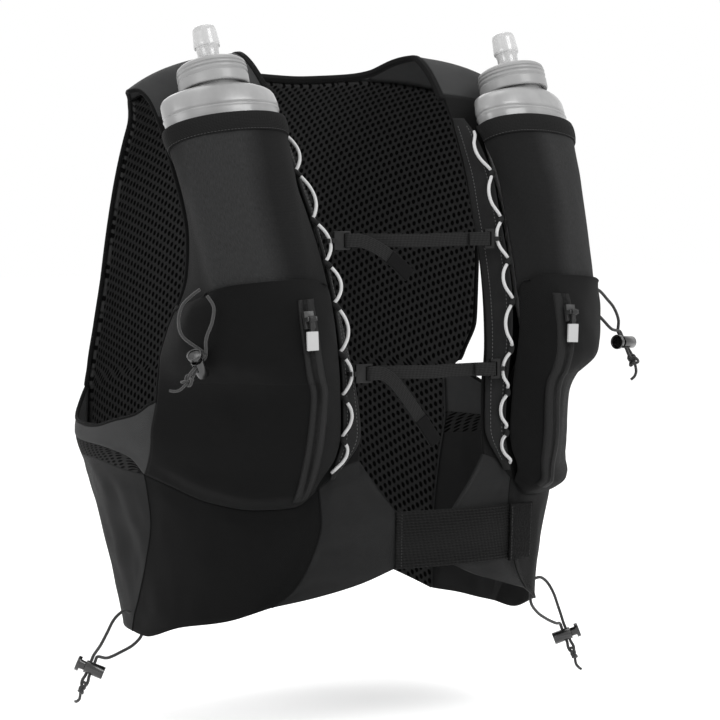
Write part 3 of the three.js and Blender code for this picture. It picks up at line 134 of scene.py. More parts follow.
POLE_CORDS = {
    "chest_right": dict(
        seat=(-172.5, -114, -211), out=(-.566, -.381, .732), run=(-.25, 0, -1),
        near=[(-168, -118, -164.2), (-165.3, -122, -171.6), (-167, -123, -181.7), (-170.5, -121, -193)],
        far=[(-166.9, -106, -160.3), (-171, -102, -164.5), (-178.1, -101, -171.4), (-181.4, -102, -182.9),
             (-179.9, -105, -192)]),
    "chest_left": dict(
        seat=(197, -99, -206.3), out=(-.93, -.36, .05), run=(.51, -.32, -.8),
        near=[(172.6, -95.4, -183.2), (179.4, -96, -189.3), (186, -98, -196.2)],
        far=[(165.5, -99.8, -164.5), (175.2, -98, -168), (182.6, -97, -174.1), (189.1, -97, -180.9),
             (193.2, -97, -190)]),
    "hem_right": dict(
        seat=(-197.1, 0, -431), out=(-.78, .49, .38), run=(-.42, .26, -.85),
        near=[(-154.6, 2, -403.6), (-155, 2, -411), (-161, 2.5, -417.2), (-171, 2, -421.5), (-183, 1, -425)],
        far=[(-161.1, 8, -394.6), (-165.4, 7.5, -393), (-170.6, 7, -395.4), (-176.3, 5, -399.6),
             (-181.7, 4, -407.7), (-187.5, 3, -416)]),
    "hem_left": dict(
        seat=(182.2, -47, -429.2), out=(.763, -.477, .35), run=(.25, -.16, -.95),
        near=[(139.2, -61.8, -392.5), (139.8, -61.3, -400.5), (147.5, -58, -408.5), (159.7, -54, -415.4),
              (170, -51, -419.5)],
        far=[(155, -43.8, -385.5), (161, -43.5, -385), (167.4, -43, -389.1), (172.7, -44, -397.7),
             (176.2, -45, -407.7), (178.5, -46, -415)]),
}


def mix(a, b, share):
    return a + (b - a) * share


def smoothstep(low, high, value):
    t = np.clip((value - low) / (high - low), 0, 1)
    return t * t * (3 - 2 * t)


def unit(vectors):
    return vectors / np.maximum(np.linalg.norm(vectors, axis=-1, keepdims=True), 1e-9)


def vec(x, y, z):
    return np.stack(np.broadcast_arrays(*(np.asarray(value, float) for value in (x, y, z))), -1)


def dot(a, b):
    return (a * b).sum(-1)


def column(table, key, name):
    """Curve through one column: a cubic between rows, each slope the harmonic mean of its neighbours'."""
    x, y = np.array(table[key], float), np.array(table[name], float)
    step = np.diff(x)
    slope = np.diff(y) / step
    grade = np.r_[slope[0], np.zeros(len(x) - 2), slope[-1]]
    product = slope[:-1] * slope[1:]
    total = np.where(product > 0, slope[:-1] + slope[1:], 1)
    grade[1:-1] = np.where(product > 0, 2 * product / total, 0)

    def at(value):
        t = np.clip(np.asarray(value, float), x[0], x[-1])
        i = np.clip(np.searchsorted(x, t, side="left") - 1, 0, len(x) - 2)
        h = step[i]
        s = (t - x[i]) / h
        return ((2 * s**3 - 3 * s**2 + 1) * y[i] + (s**3 - 2 * s**2 + s) * h * grade[i]
                + (3 * s**2 - 2 * s**3) * y[i + 1] + (s**3 - s**2) * h * grade[i + 1])
    return at


ring_width, ring_front, ring_back, ring_middle = (
    column(RINGS, "up", name) for name in ("width", "front", "back", "middle"))
outer_edge, inner_edge = column(OUTER, "path", "x"), column(INNER, "path", "x")
back_right, back_left = column(BACK, "path", "right"), column(BACK, "path", "left")
tape_edge, lace_wide, lace_fore = (column(TAPE, "drop", name) for name in ("edge", "lace", "fore"))
flask_x, flask_fore, flask_width, flask_depth, flask_lean = (
    column(FLASK_FORM, "drop", name) for name in ("x", "fore", "width", "depth", "lean"))
zip_columns = [column(ZIP_FORM, "up", name) for name in ZIP_PLACES]


def ring_at(z):
    """Half width, front reach, back reach and middle of the body's ring at a height."""
    up = (z + HEIGHT) / (HEIGHT - CHEST_DROP)
    middle = BACK_DEPTH * ring_middle(up)
    return (HALF_WIDTH * ring_width(up), middle + FRONT_DEPTH * ring_front(up),
            BACK_DEPTH * ring_back(up) - middle, middle)


def body_point(x, path):
    """Rings of superellipses below the chest line; above it the rings close over the shoulder ridge."""
    x, path = np.broadcast_arrays(np.asarray(x, float), np.asarray(path, float))
    front = path <= 1.5
    power = np.where(front, 2.2, 2.3)
    low = (path <= 1) | (path >= 2)
    up = np.where(path <= 1, path, 3 - path)
    z = np.where(low, -HEIGHT + (HEIGHT - CHEST_DROP) * up, -CHEST_DROP)
    half, fore, back, middle = ring_at(z)
    full = (1 - np.minimum(abs(x) / half, 1) ** power) ** (1 / power)
    turn = (path - 1) * np.pi
    rise = np.where(low, 0, abs(np.sin(turn)) ** (2 / np.where(front, 1.32, 2.2)))
    reach = np.where(low, 1, abs(np.cos(turn)) ** (2 / np.where(front, 1.5, 1.9)))
    ridge = CROWN - SHOULDER_FALL * (abs(x) / SHOULDER_HALF) ** 4
    y = middle * (1 - rise) + np.where(front, -fore, back) * full * reach
    return vec(x, y, z + (ridge - z) * rise)


def girth_point(side, angle, drop):
    """Point by its angle round the body, 0 at the front, and its drop as a share of the height."""
    z = -HEIGHT * np.asarray(drop, float)
    half, fore, back, middle = ring_at(z)
    front = angle <= 90
    power = np.where(front, 2.2, 2.3)
    turn = np.radians(angle)
    x = side * half * abs(np.sin(turn)) ** (2 / power)
    depth = abs(np.cos(turn)) ** (2 / power)
    return vec(x, middle + np.where(front, -fore, back) * depth, z)


def lifted(surface, a, b, lift, step_a, step_b):
    """Point moved along the surface's outward normal, from small steps in both parameters."""
    point = surface(a, b)
    normal = unit(np.cross(surface(a + step_a, b) - surface(a - step_a, b),
                           surface(a, b + step_b) - surface(a, b - step_b)))
    outward = point - (0, 0, -HEIGHT / 2)
    outward[..., 2] *= np.where(point[..., 2] > -CHEST_DROP, 0.6, 0)
    sign = np.where(dot(normal, outward) < 0, -1.0, 1.0)
    return point + normal * (sign * lift)[..., None]


def on_body(x, path, lift):
    return lifted(body_point, np.asarray(x, float), np.asarray(path, float), lift, 0.2, 0.002)


def on_girth(side, angle, drop, lift):
    return lifted(lambda a, d: girth_point(side, a, d), np.asarray(angle, float), np.asarray(drop, float),
                  lift, 0.3, 0.002)


def on_front(sign):
    return lambda x, path, lift: on_body(sign * x * HALF_WIDTH, path, lift)


def on_side(sign):
    return lambda angle, drop, lift: on_girth(sign, angle, drop, lift)


def proud(x, path, lift):
    """Point moved level, straight out of the body."""
    point = on_body(x, path, 0.0)
    out = on_body(x, path, 1.0) - point
    out[..., 2] = 0
    return point + unit(out) * np.asarray(lift)[..., None]


def path_at(x, z):
    """Path of the front surface's point that has this width and height."""
    x, z = np.broadcast_arrays(np.asarray(x, float), np.asarray(z, float))
    ridge = CROWN - SHOULDER_FALL * (abs(x) / SHOULDER_HALF) ** 4
    rise = np.clip((z + CHEST_DROP) / (ridge + CHEST_DROP), 0, 1)
    return np.where(z <= -CHEST_DROP, (z + HEIGHT) / (HEIGHT - CHEST_DROP),
                    1 + np.arcsin(rise ** 0.66) / np.pi)


def to_girth(x, path):
    drop = 1 - path * (HEIGHT - CHEST_DROP) / HEIGHT
    share = x * HALF_WIDTH / ring_at(-HEIGHT * drop)[0]
    return np.degrees(np.arcsin(np.minimum(share, 1) ** 1.1)), drop


def seam(rows):
    """Curve through rows of two parameters, even in t from the first row to the last."""
    t = np.linspace(0, 1, len(rows))
    table = dict(t=t, a=[row[0] for row in rows], b=[row[1] for row in rows])
    a, b = column(table, "t", "a"), column(table, "t", "b")
    return lambda t: (a(t), b(t))


def straight(start, end):
    return lambda t: tuple(mix(s, e, t) for s, e in zip(start, end))


def patch(foot, head, near, far):
    """Coons patch: the seams blended across, less the corners' bilinear blend."""
    corner = [foot(0.0), foot(1.0), head(0.0), head(1.0)]

    def at(u, v):
        return tuple(
            (1 - v) * foot(u)[k] + v * head(u)[k] + (1 - u) * near(v)[k] + u * far(v)[k]
            - (1 - u) * (1 - v) * corner[0][k] - u * (1 - v) * corner[1][k]
            - (1 - u) * v * corner[2][k] - u * v * corner[3][k] for k in (0, 1))
    return at


foot_seam = seam([(.278, .700), (.337, .680), (.428, .600), (.519, .530),
                  (.642, .522), (.765, .548), (.861, .605), (.920, .647)])
FOOT_SPLIT = 2 / 7
colour_seam = seam([(94, .991), (88, .930), (81, .858), (75, .784), to_girth(.920, .647)])


def colour_top(t):
    path = mix(.647, .918, t)
    return to_girth(outer_edge(path), path)


ARMHOLE_FOOT = {-1: (.631, .627, .609, .576), 1: (.622, .604, .576, .548)}
armhole_seams = {sign: seam([colour_top(1), (67, .587), (72, .606), (80, .618),
                             *zip((90, 105, 116, 125), ARMHOLE_FOOT[sign])]) for _, sign in SIDES}
mesh_top = seam([to_girth(.920, .647), (75, .680), (86, .663), (100, .657), (125, .648)])
mesh_foot = seam([to_girth(.920, .647), (80, .699), (94, .684), (108, .684), (125, .688)])
hem_side = seam([(94, .991), (104, .988), (115, .981), (125, .976)])
lower_seam = seam([(40, .930), (34, .902), (29, .855), (25, .782), to_girth(*foot_seam(FOOT_SPLIT))])
hem_skirt = seam([(40, .930), (54, .956), (70, .971), (86, .995), (94, .991)])
hem_waist = seam([(6.2, .867), (16, .893), (28, .914), (40, .930)])
waist_free = seam([(6.2, .777), (11, .728), to_girth(*foot_seam(0))])


def waist_top(t):
    free, sewn = waist_free(np.minimum(2 * t, 1)), to_girth(*foot_seam(np.maximum(2 * t - 1, 0) * FOOT_SPLIT))
    return tuple(np.where(np.asarray(t) < 0.5, a, b) for a, b in zip(free, sewn))


def edge_line(edge, start, end):
    def at(t):
        path = mix(start, end, t)
        return edge(path), path + 0 * np.asarray(t)
    return at


def across_line(path):
    return straight((inner_edge(path), path), (outer_edge(path), path))


def yoke_line(x):
    return 1.624 + 0.012 * np.maximum(0, 1 - (np.asarray(x) / 0.32) ** 2) ** 2


def back_edge(path, sign):
    """Width share of the back's edge; the left armhole's edge comes further round."""
    low = -HEIGHT * (1 - (3 - path) * (HEIGHT - CHEST_DROP) / HEIGHT)
    side = ring_at(low)[0] * np.sin(np.radians(55)) ** (2 / 2.3) / HALF_WIDTH
    row = np.where(np.asarray(sign) < 0, back_right(path), back_left(path))
    return np.where(path <= 2.06, row, side)


def back_map(inset):
    def at(u, v):
        share = 2 * u - 1
        path = mix(mix(2.725, 2.947, share**2), yoke_line(abs(share) * outer_edge(1.624)), v)
        return share * (back_edge(path, share) - inset), path
    return at


def lace_crest(sign, drop):
    return vec(sign * lace_wide(drop) * HALF_WIDTH, -lace_fore(drop) * FRONT_DEPTH, -drop * HEIGHT)


def tape_frame(sign, drop):
    """Foot of the tape on the cloth, its crest on the lace line, and the direction that its face looks."""
    x = tape_edge(drop) * HALF_WIDTH + GAP
    foot = proud(sign * x, path_at(x, -drop * HEIGHT), CLOTH + 2 * GAP + 0 * drop)
    foot[..., 2] = -drop * HEIGHT
    crest = lace_crest(sign, drop)
    way = unit(crest - foot)
    face = vec(way[..., 1], -way[..., 0], 0)
    return foot, crest, face * np.where(face[..., 0] * sign > 0, -1.0, 1.0)[..., None]


def tape_point(sign, u, drop, extra):
    foot, crest, face = tape_frame(sign, drop)
    return mix(foot, crest, u[..., None]) + face * (extra + TAPE_BULGE * np.sin(np.pi * u))[..., None]


def lace_point(sign, drop, inward):
    _, crest, face = tape_frame(sign, drop)
    point = crest + face * (TAPE_THICK + LACE_STAND + LACE / 2)
    point[..., 0] -= sign * inward
    return point


def arc_top(sign, k):
    drop = np.array((EYELETS[k] + EYELETS[k + 1]) / 2)
    return lace_point(sign, drop, LACE_ARC)


def flask_frame(sign, drop):
    """Centre of a flask section and the section's three directions."""
    drop = np.asarray(drop, float)
    centre = vec(sign * flask_x(drop) * HALF_WIDTH, -flask_fore(drop) * FRONT_DEPTH, -drop * HEIGHT)
    lean, yaw = np.radians(flask_lean(drop)), math.radians(FLASK["yaw"])
    up = vec(0, np.sin(lean), np.cos(lean))
    ahead, aside = vec(0, -np.cos(lean), np.sin(lean)), np.array([sign, 0.0, 0.0])
    across = aside * math.cos(yaw) - ahead * math.sin(yaw)
    return centre, up, across, ahead * math.cos(yaw) + aside * math.sin(yaw), lean


def flask_point(sign, drop, turn, grow):
    """Superellipse section: a cosine power across and a sine power to the front."""
    centre, _, across, fore, _ = flask_frame(sign, drop)
    power = np.clip(2 + 0.3 * (np.asarray(drop) - 0.08) / 0.12, 2, 2.3)
    c, s = np.cos(turn), np.sin(turn)
    wide = (FLASK["half_width"] * flask_width(drop) + grow) * np.sign(c) * abs(c) ** (2 / power)
    deep = (FLASK["half_depth"] * flask_depth(drop) + grow) * np.sign(s) * abs(s) ** (2 / power)
    return centre + across * wide[..., None] + fore * deep[..., None]


def pocket_point(sign, u, drop, extra):
    """Cloth drawn taut: straight from the tape to the flask, round it, and straight to the armhole edge."""
    u, drop = np.broadcast_arrays(np.asarray(u, float), np.asarray(drop, float))
    held = np.minimum(drop, HIDDEN)
    tuck = smoothstep(SEAM - .02, SEAM + .02, drop)
    centre, _, across, fore, lean = flask_frame(sign, held)
    sink = vec(0, 0, (drop - held) * HEIGHT)
    centre = centre - sink
    cz = centre[..., 2]
    share = 0.83 * HALF_WIDTH
    behind = on_body(sign * share + 0 * cz, path_at(share, cz), 0.0)
    path = path_at(share, cz - np.tan(lean) * (behind[..., 1] - centre[..., 1]))
    wide = outer_edge(path) - .008 - .035 * tuck
    far = on_body(sign * wide * HALF_WIDTH, path, CLOTH + GAP + extra)
    near = lace_crest(sign, -cz / HEIGHT)
    near[..., 0] += sign * (TAPE_THICK + 0.4 + 5 * tuck)
    near[..., 1] += 4 * tuck
    near = near + fore * extra

    def rim(turn):
        return flask_point(sign, held, turn, 1.2 + extra) - sink

    def touch(start, side):
        best, most = np.zeros(u.shape), np.full(u.shape, -9.0)
        for k in range(-60, 61):
            turn = np.full(u.shape, math.radians(k if side > 0 else 180 - k))
            way = rim(turn) - start
            angle = np.arctan2(dot(way, fore), -side * dot(way, across))
            best = np.where(angle > most, turn, best)
            most = np.maximum(angle, most)
        return best

    turn_near, turn_far = touch(near, -1), touch(far, 1)
    before = mix(near, rim(turn_near), (u / ARC_FROM)[..., None])
    after = mix(rim(turn_far), far, ((u - ARC_TO) / (1 - ARC_TO))[..., None])
    between = rim(mix(turn_near, turn_far, (u - ARC_FROM) / (ARC_TO - ARC_FROM)))
    taut = np.where((u < ARC_FROM)[..., None], before, np.where((u > ARC_TO)[..., None], after, between))
    x = abs(mix(near[..., 0], far[..., 0], u))
    low = on_body(sign * x, path_at(x, taut[..., 2]), CLOTH + GAP + extra)
    return mix(taut, low, smoothstep(HIDDEN + .005, FOOT, drop)[..., None])


def zip_foot(u):
    return foot_seam(mix(ZIP_FOOT, 1, u))


zip_tape_seam = seam([zip_foot(0), (.418, .69), (.405, .80), (.388, .984), (.413, 1.070), (.440, 1.15)])
zip_map = patch(zip_foot, straight((.440, 1.15), (outer_edge(1.15), 1.15)), zip_tape_seam,
                edge_line(outer_edge, .647, ZIP_TOP))


def zip_proud(u, v):
    """How far the zip pocket stands out: the six columns at v, joined by the same cubic along u."""
    rows = np.stack([curve(v) for curve in zip_columns], -1)
    places = np.array(list(ZIP_PLACES.values()), float)
    step = np.diff(places)
    slope = np.diff(rows, axis=-1) / step
    product = slope[..., :-1] * slope[..., 1:]
    total = np.where(product > 0, slope[..., :-1] + slope[..., 1:], 1)
    inner = np.where(product > 0, 2 * product / total, 0)
    grade = np.concatenate([slope[..., :1], inner, slope[..., -1:]], -1)
    i = np.clip(np.searchsorted(places, u, side="left") - 1, 0, len(step) - 1)
    pick = lambda values, k: np.take_along_axis(values, k[..., None], -1)[..., 0]
    h = step[i]
    s = (u - places[i]) / h
    return ((2 * s**3 - 3 * s**2 + 1) * pick(rows, i) + (s**3 - 2 * s**2 + s) * h * pick(grade, i)
            + (3 * s**2 - 2 * s**3) * pick(rows, i + 1) + (s**3 - s**2) * h * pick(grade, i + 1)) * ZIP_LIFT


def zip_point(sign, u, v, extra):
    """Zip pocket: proud of the body, drawn to the lace line at the tape and to the flask pocket on top."""
    u, v = np.broadcast_arrays(np.asarray(u, float), np.asarray(v, float))
    x, path = zip_map(u, v)
    point = proud(sign * (x - .008 * u) * HALF_WIDTH, path, zip_proud(u, v) + extra)
    near_x, near_path = zip_map(0 * u, v)
    start = proud(sign * near_x * HALF_WIDTH, near_path, zip_proud(0 * u, v))
    crest = lace_crest(sign, -start[..., 2] / HEIGHT)
    crest[..., 0] += sign * (TAPE_THICK + 0.4)
    crest[..., 1] -= ZIP_LAP
    pull = crest - start
    pull[..., 2] = 0
    share = (1 - smoothstep(0, ZIP_PLACES["zip"], u)) * smoothstep(.05, .25, v)
    point = point + pull * share[..., None]
    seat = pocket_point(sign, mix(.02, 1, u), SEAM - .02, POCKET_CLOTH + ZIP_LAP + extra)
    return mix(point, seat, smoothstep(.95, 1, v)[..., None])


def noise(points, cell, seed):
    """Smooth noise from -1 to 1: hashed values on a lattice of cells, blended by a smooth cubic."""
    q = points / np.asarray(cell, float)
    base = np.floor(q).astype(np.int64)
    f = q - base
    f = f * f * (3 - 2 * f)
    total = 0
    for corner in itertools.product((0, 1), repeat=3):
        key = ((base + corner) * (73856093, 19349663, 83492791)).sum(-1) + seed * 2654435761
        key = (key ^ (key >> 13)) * 1274126177 & 0x7FFFFFFF
        key = (key ^ (key >> 16)) & 0x7FFFFFFF
        weight = np.prod(np.where(corner, f, 1 - f), axis=-1)
        total = total + weight * (key / 0x3FFFFFFF - 1)
    return total


def grid(across, along):
    """Parameters u across and v along, each from 0 to 1, as two arrays."""
    return np.meshgrid(np.linspace(0, 1, across + 1), np.linspace(0, 1, along + 1))


def normals_of(points):
    return unit(np.cross(np.gradient(points, axis=1), np.gradient(points, axis=0)))


def back_out(points):
    """Normals of the back's grid, turned to the rear."""
    normal = normals_of(points)
    return normal * np.where(normal[..., 1:2] < 0, -1.0, 1.0)


def creased(points, rows, fade=0.12):
    """Folds: noise in stretched cells moves points along their normals and fades out at the edges.
    Each row is a height, a cell size in x, y and z, and a seed."""
    axis = points * (1, 1, 0)
    normal = normals_of(points)
    normal = normal * np.where(dot(normal, axis) < 0, -1.0, 1.0)[..., None]
    v, u = (np.linspace(0, 1, count) for count in points.shape[:2])
    ease = lambda t: smoothstep(0, fade, t) * smoothstep(0, fade, 1 - t)
    weight = ease(u)[None, :] * ease(v)[:, None]
    lift = sum(height * noise(points, cell, seed) for height, cell, seed in rows)
    return points + normal * (lift * weight)[..., None]


def cloth_uv(points, closed=False):
    """UV in metres, by the lengths along the grid's rows and columns, from its middle."""
    ring = np.concatenate([points, points[:, :1]], 1) if closed else points
    u = np.cumsum(np.linalg.norm(np.diff(ring, axis=1, prepend=ring[:, :1]), axis=-1), axis=1)
    v = np.cumsum(np.linalg.norm(np.diff(ring, axis=0, prepend=ring[:1]), axis=-1), axis=0)
    middle = ring.shape[1] // 2
    return np.stack([u - u[:, middle:middle + 1], v - 0 * u], -1) * MM


def piece(name, points, finish, slot, uv=None, closed=False, wall=0, body="vest", inside=None, ends=False,
          nodes=()):
    """A grid of points in millimetres made a mesh that faces away from inside, with a wall if given."""
    rows, cols = points.shape[:2]
    uv = cloth_uv(points, closed) if uv is None else uv
    index = np.arange(rows * cols).reshape(rows, cols)
    if closed:
        index = np.concatenate([index, index[:, :1]], 1)
    reference = points * (0, 0, 1) if inside is None else inside
    facing = np.cross(np.gradient(points, axis=1), np.gradient(points, axis=0))
    order = [(0, 0), (0, 1), (1, 1), (1, 0)]
    if (facing * (points - reference)).sum() < 0:
        order.reverse()
    pick = lambda table, j, i: table[j:j + rows - 1, i:i + index.shape[1] - 1]
    faces = np.stack([pick(index, j, i) for j, i in order], -1).reshape(-1, 4)
    corners = np.stack([pick(uv, j, i) for j, i in order], 2).reshape(-1, 2)
    flat = points.reshape(-1, 3) * MM
    mesh = bpy.data.meshes.new(name)
    mesh.from_pydata(flat.tolist(), [], faces.tolist())
    layer = mesh.uv_layers.new(name="cloth")
    layer.data.foreach_set("uv", corners.ravel().astype(np.float32))
    if ends:
        close_ends(mesh)
    mesh.polygons.foreach_set("use_smooth", np.ones(len(mesh.polygons), bool))
    made = bpy.data.objects.new(name, mesh)
    return dress(made, finish, slot, body, wall, nodes)


def close_ends(mesh):
    """Welds doubled points and fills the open ends."""
    work = bmesh.new()
    work.from_mesh(mesh)
    bmesh.ops.remove_doubles(work, verts=work.verts, dist=1e-6)
    loose = [edge for edge in work.edges if edge.is_boundary]
    if loose:
        bmesh.ops.holes_fill(work, edges=loose, sides=0)
    bmesh.ops.recalc_face_normals(work, faces=work.faces)
    work.to_mesh(mesh)
    work.free()


def dress(made, finish, slot, body, wall=0, nodes=()):
    bpy.context.scene.collection.objects.link(made)
    made.data.materials.append(finish)
    if wall:
        modifier = made.modifiers.new("wall", "SOLIDIFY")
        modifier.thickness = wall * MM
        modifier.offset = -1
    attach(made, body)
    if nodes:
        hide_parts(*nodes)
    return made


def spline(points, steps):
    """Centripetal Catmull-Rom curve through points, then resampled to even steps."""
    p = np.array(points, float)
    p = np.vstack([2 * p[0] - p[1], p, 2 * p[-1] - p[-2]])
    gap = np.maximum(np.linalg.norm(np.diff(p, axis=0), axis=1) ** 0.5, 1e-4)[:, None]
    a, b, c, d = p[:-3], p[1:-2], p[2:-1], p[3:]
    g0, g1, g2 = gap[:-2], gap[1:-1], gap[2:]
    m1 = ((b - a) / g0 - (c - a) / (g0 + g1) + (c - b) / g1) * g1
    m2 = ((c - b) / g1 - (d - b) / (g1 + g2) + (d - c) / g2) * g1
    t = np.linspace(0, 1, 24, endpoint=False)[None, :, None]
    b, c, m1, m2 = (value[:, None, :] for value in (b, c, m1, m2))
    fine = b + m1 * t + (-3 * b + 3 * c - 2 * m1 - m2) * t**2 + (2 * b - 2 * c + m1 + m2) * t**3
    fine = np.vstack([fine.reshape(-1, 3), p[-2]])
    return even(fine, steps)


def even(points, steps):
    """Points at equal lengths along a line of points."""
    along = np.r_[0, np.cumsum(np.linalg.norm(np.diff(points, axis=0), axis=1))]
    at = np.linspace(0, along[-1], steps + 1)
    return np.stack([np.interp(at, along, points[:, k]) for k in range(3)], 1)


def carried(path, closed=False):
    """Directions along a path, and two across it, turned as little as can be from point to point."""
    if closed:
        along = unit(np.roll(path, -1, 0) - np.roll(path, 1, 0))
    else:
        along = unit(np.gradient(path, axis=0))
    side = np.zeros_like(path)
    first = np.array([0.3, 0.2, 1.0])
    for i, way in enumerate(along):
        first = first - way * first.dot(way)
        first = first / np.linalg.norm(first)
        side[i] = first
    return along, side, np.cross(along, side)


def swept(path, profile, side, other, closed=False):
    """A closed profile of two columns carried along a path: one point per path row and profile row."""
    rings = (path[:, None] + side[:, None] * profile[None, :, :1] + other[:, None] * profile[None, :, 1:])
    return np.concatenate([rings, rings[:1]], 0) if closed else rings


def circle(count, wide, high=None):
    turn = np.linspace(0, 2 * np.pi, count, endpoint=False)
    return np.stack([wide * np.cos(turn), (wide if high is None else high) * np.sin(turn)], 1)


def oval_bar(wide, high, count=24, power=0.45):
    """Rounded rectangle: both coordinates of a circle raised to a power."""
    turn = np.linspace(0, 2 * np.pi, count, endpoint=False)
    shape = lambda value: np.sign(value) * abs(value) ** power
    return np.stack([wide * shape(np.cos(turn)), high * shape(np.sin(turn))], 1)


def tube(name, path, radius, finish, slot, sides=12, closed=False, body="vest", nodes=(), profile=None):
    _, side, other = carried(path, closed)
    profile = circle(sides, radius) if profile is None else profile
    rings = swept(path, profile, side, other, closed)
    centre = rings.mean(1, keepdims=True)
    return piece(name, rings, finish, slot, closed=True, inside=centre, ends=not closed, body=body,
                 nodes=nodes)


def turned_rings(profile, base, up, count=96):
    """Profile of radius and height rows turned about an axis."""
    up = unit(np.asarray(up, float))
    first = unit(np.cross((1.0, 0, 0), up))
    second = np.cross(up, first)
    turn = np.linspace(0, 2 * np.pi, count, endpoint=False)
    ring = np.cos(turn)[:, None] * first + np.sin(turn)[:, None] * second
    profile = np.asarray(profile, float)
    return base + profile[:, None, 1:] * up + profile[:, None, :1] * ring[None]


def rounded(profile, radius, steps=3):
    """Cuts each inner corner of a line by a short quadratic curve."""
    out = [profile[0]]
    for before, corner, after in zip(profile, profile[1:], profile[2:]):
        reach = [min(radius, np.linalg.norm(end - corner) * 0.45) for end in (before, after)]
        start = corner + unit(before - corner) * reach[0]
        end = corner + unit(after - corner) * reach[1]
        for t in np.linspace(0, 1, steps + 1):
            out.append((1 - t) ** 2 * start + 2 * t * (1 - t) * corner + t**2 * end)
    out.append(profile[-1])
    return np.array(out)


def stitch_row(name, line, normal, finish, pitch=2.6, length=1.7, radius=0.26, slot="webbing"):
    """Stitches along a line: short spindles, each a ring of six at four places, closed at both ends."""
    along = np.r_[0, np.cumsum(np.linalg.norm(np.diff(line, axis=0), axis=1))]
    at = np.arange(pitch / 2, along[-1], pitch)
    take = lambda values, where: np.stack([np.interp(where, along, values[:, k]) for k in range(3)], 1)
    way = unit(take(line, at + 0.4) - take(line, at - 0.4))
    up = unit(take(normal, at))
    centre = take(line, at) + up * radius * 0.35
    side = unit(np.cross(way, up))
    station = np.array([[-.5, .04], [-.36, .8], [.36, .8], [.5, .04]]) * (length, radius)
    turn = np.linspace(0, 2 * np.pi, 6, endpoint=False)
    offset = (way[:, None, None] * station[None, :, None, :1]
              + (side[:, None, None] * np.cos(turn)[None, None, :, None]
                 + up[:, None, None] * np.sin(turn)[None, None, :, None]) * station[None, :, None, 1:])
    points = (centre[:, None, None] + offset).reshape(-1, 3)
    index = np.arange(len(points)).reshape(len(at), 4, 6)
    nxt = np.roll(index, -1, 2)
    walls = np.stack([index[:, :-1], nxt[:, :-1], nxt[:, 1:], index[:, 1:]], -1).reshape(-1, 4)
    caps = [*index[:, 0, ::-1].tolist(), *index[:, 3].tolist()]
    mesh = bpy.data.meshes.new(name)
    mesh.from_pydata((points * MM).tolist(), [], walls.tolist() + caps)
    work = bmesh.new()
    work.from_mesh(mesh)
    bmesh.ops.recalc_face_normals(work, faces=work.faces)
    work.to_mesh(mesh)
    work.free()
    mesh.polygons.foreach_set("use_smooth", np.ones(len(mesh.polygons), bool))
    return dress(bpy.data.objects.new(name, mesh), finish, slot, "vest")


def moulded(node, finish, slot, body="vest", width=0.3):
    """Copy of a hard node with its doubles merged, its flat faces joined and its edges eased."""
    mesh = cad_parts[node].data.copy()
    work = bmesh.new()
    work.from_mesh(mesh)
    bmesh.ops.remove_doubles(work, verts=work.verts, dist=1e-6)
    bmesh.ops.dissolve_limit(work, angle_limit=math.radians(2), verts=work.verts, edges=work.edges)
    work.to_mesh(mesh)
    work.free()
    mesh.materials.clear()
    mesh.polygons.foreach_set("use_smooth", np.ones(len(mesh.polygons), bool))
    made = dress(bpy.data.objects.new(node + "_moulded", mesh), finish, slot, body, 0, (node,))
    bevel = made.modifiers.new("eased", "BEVEL")
    bevel.width = width * MM
    bevel.segments = 2
    bevel.limit_method = "ANGLE"
    bevel.angle_limit = math.radians(32)
    bevel.harden_normals = True
    return made


class Value:
    """A number socket of a material; arithmetic with it adds Math nodes."""

    def __init__(self, tree, socket):
        self.tree = tree
        self.socket = socket

    def math(self, operation, *others):
        node = self.tree.nodes.new("ShaderNodeMath")
        node.operation = operation
        for slot, value in zip(node.inputs, (self, *others)):
            if isinstance(value, Value):
                self.tree.links.new(value.socket, slot)
            else:
                slot.default_value = value
        return Value(self.tree, node.outputs[0])

    def __add__(self, other):
        return self.math("ADD", other)

    def __mul__(self, other):
        return self.math("MULTIPLY", other)

    def __sub__(self, other):
        return self.math("SUBTRACT", other)

    def __rsub__(self, other):
        return self.math("MULTIPLY_ADD", -1.0, other)

    __radd__ = __add__
    __rmul__ = __mul__

    def wave(self, pitch, phase=0.0):
        return (self * (2 * math.pi / pitch) + phase).math("SINE")

    def ramp(self, low, high):
        """0 below low, 1 above high, straight between."""
        return ((self - low) * (1 / (high - low))).math("MAXIMUM", 0.0).math("MINIMUM", 1.0)


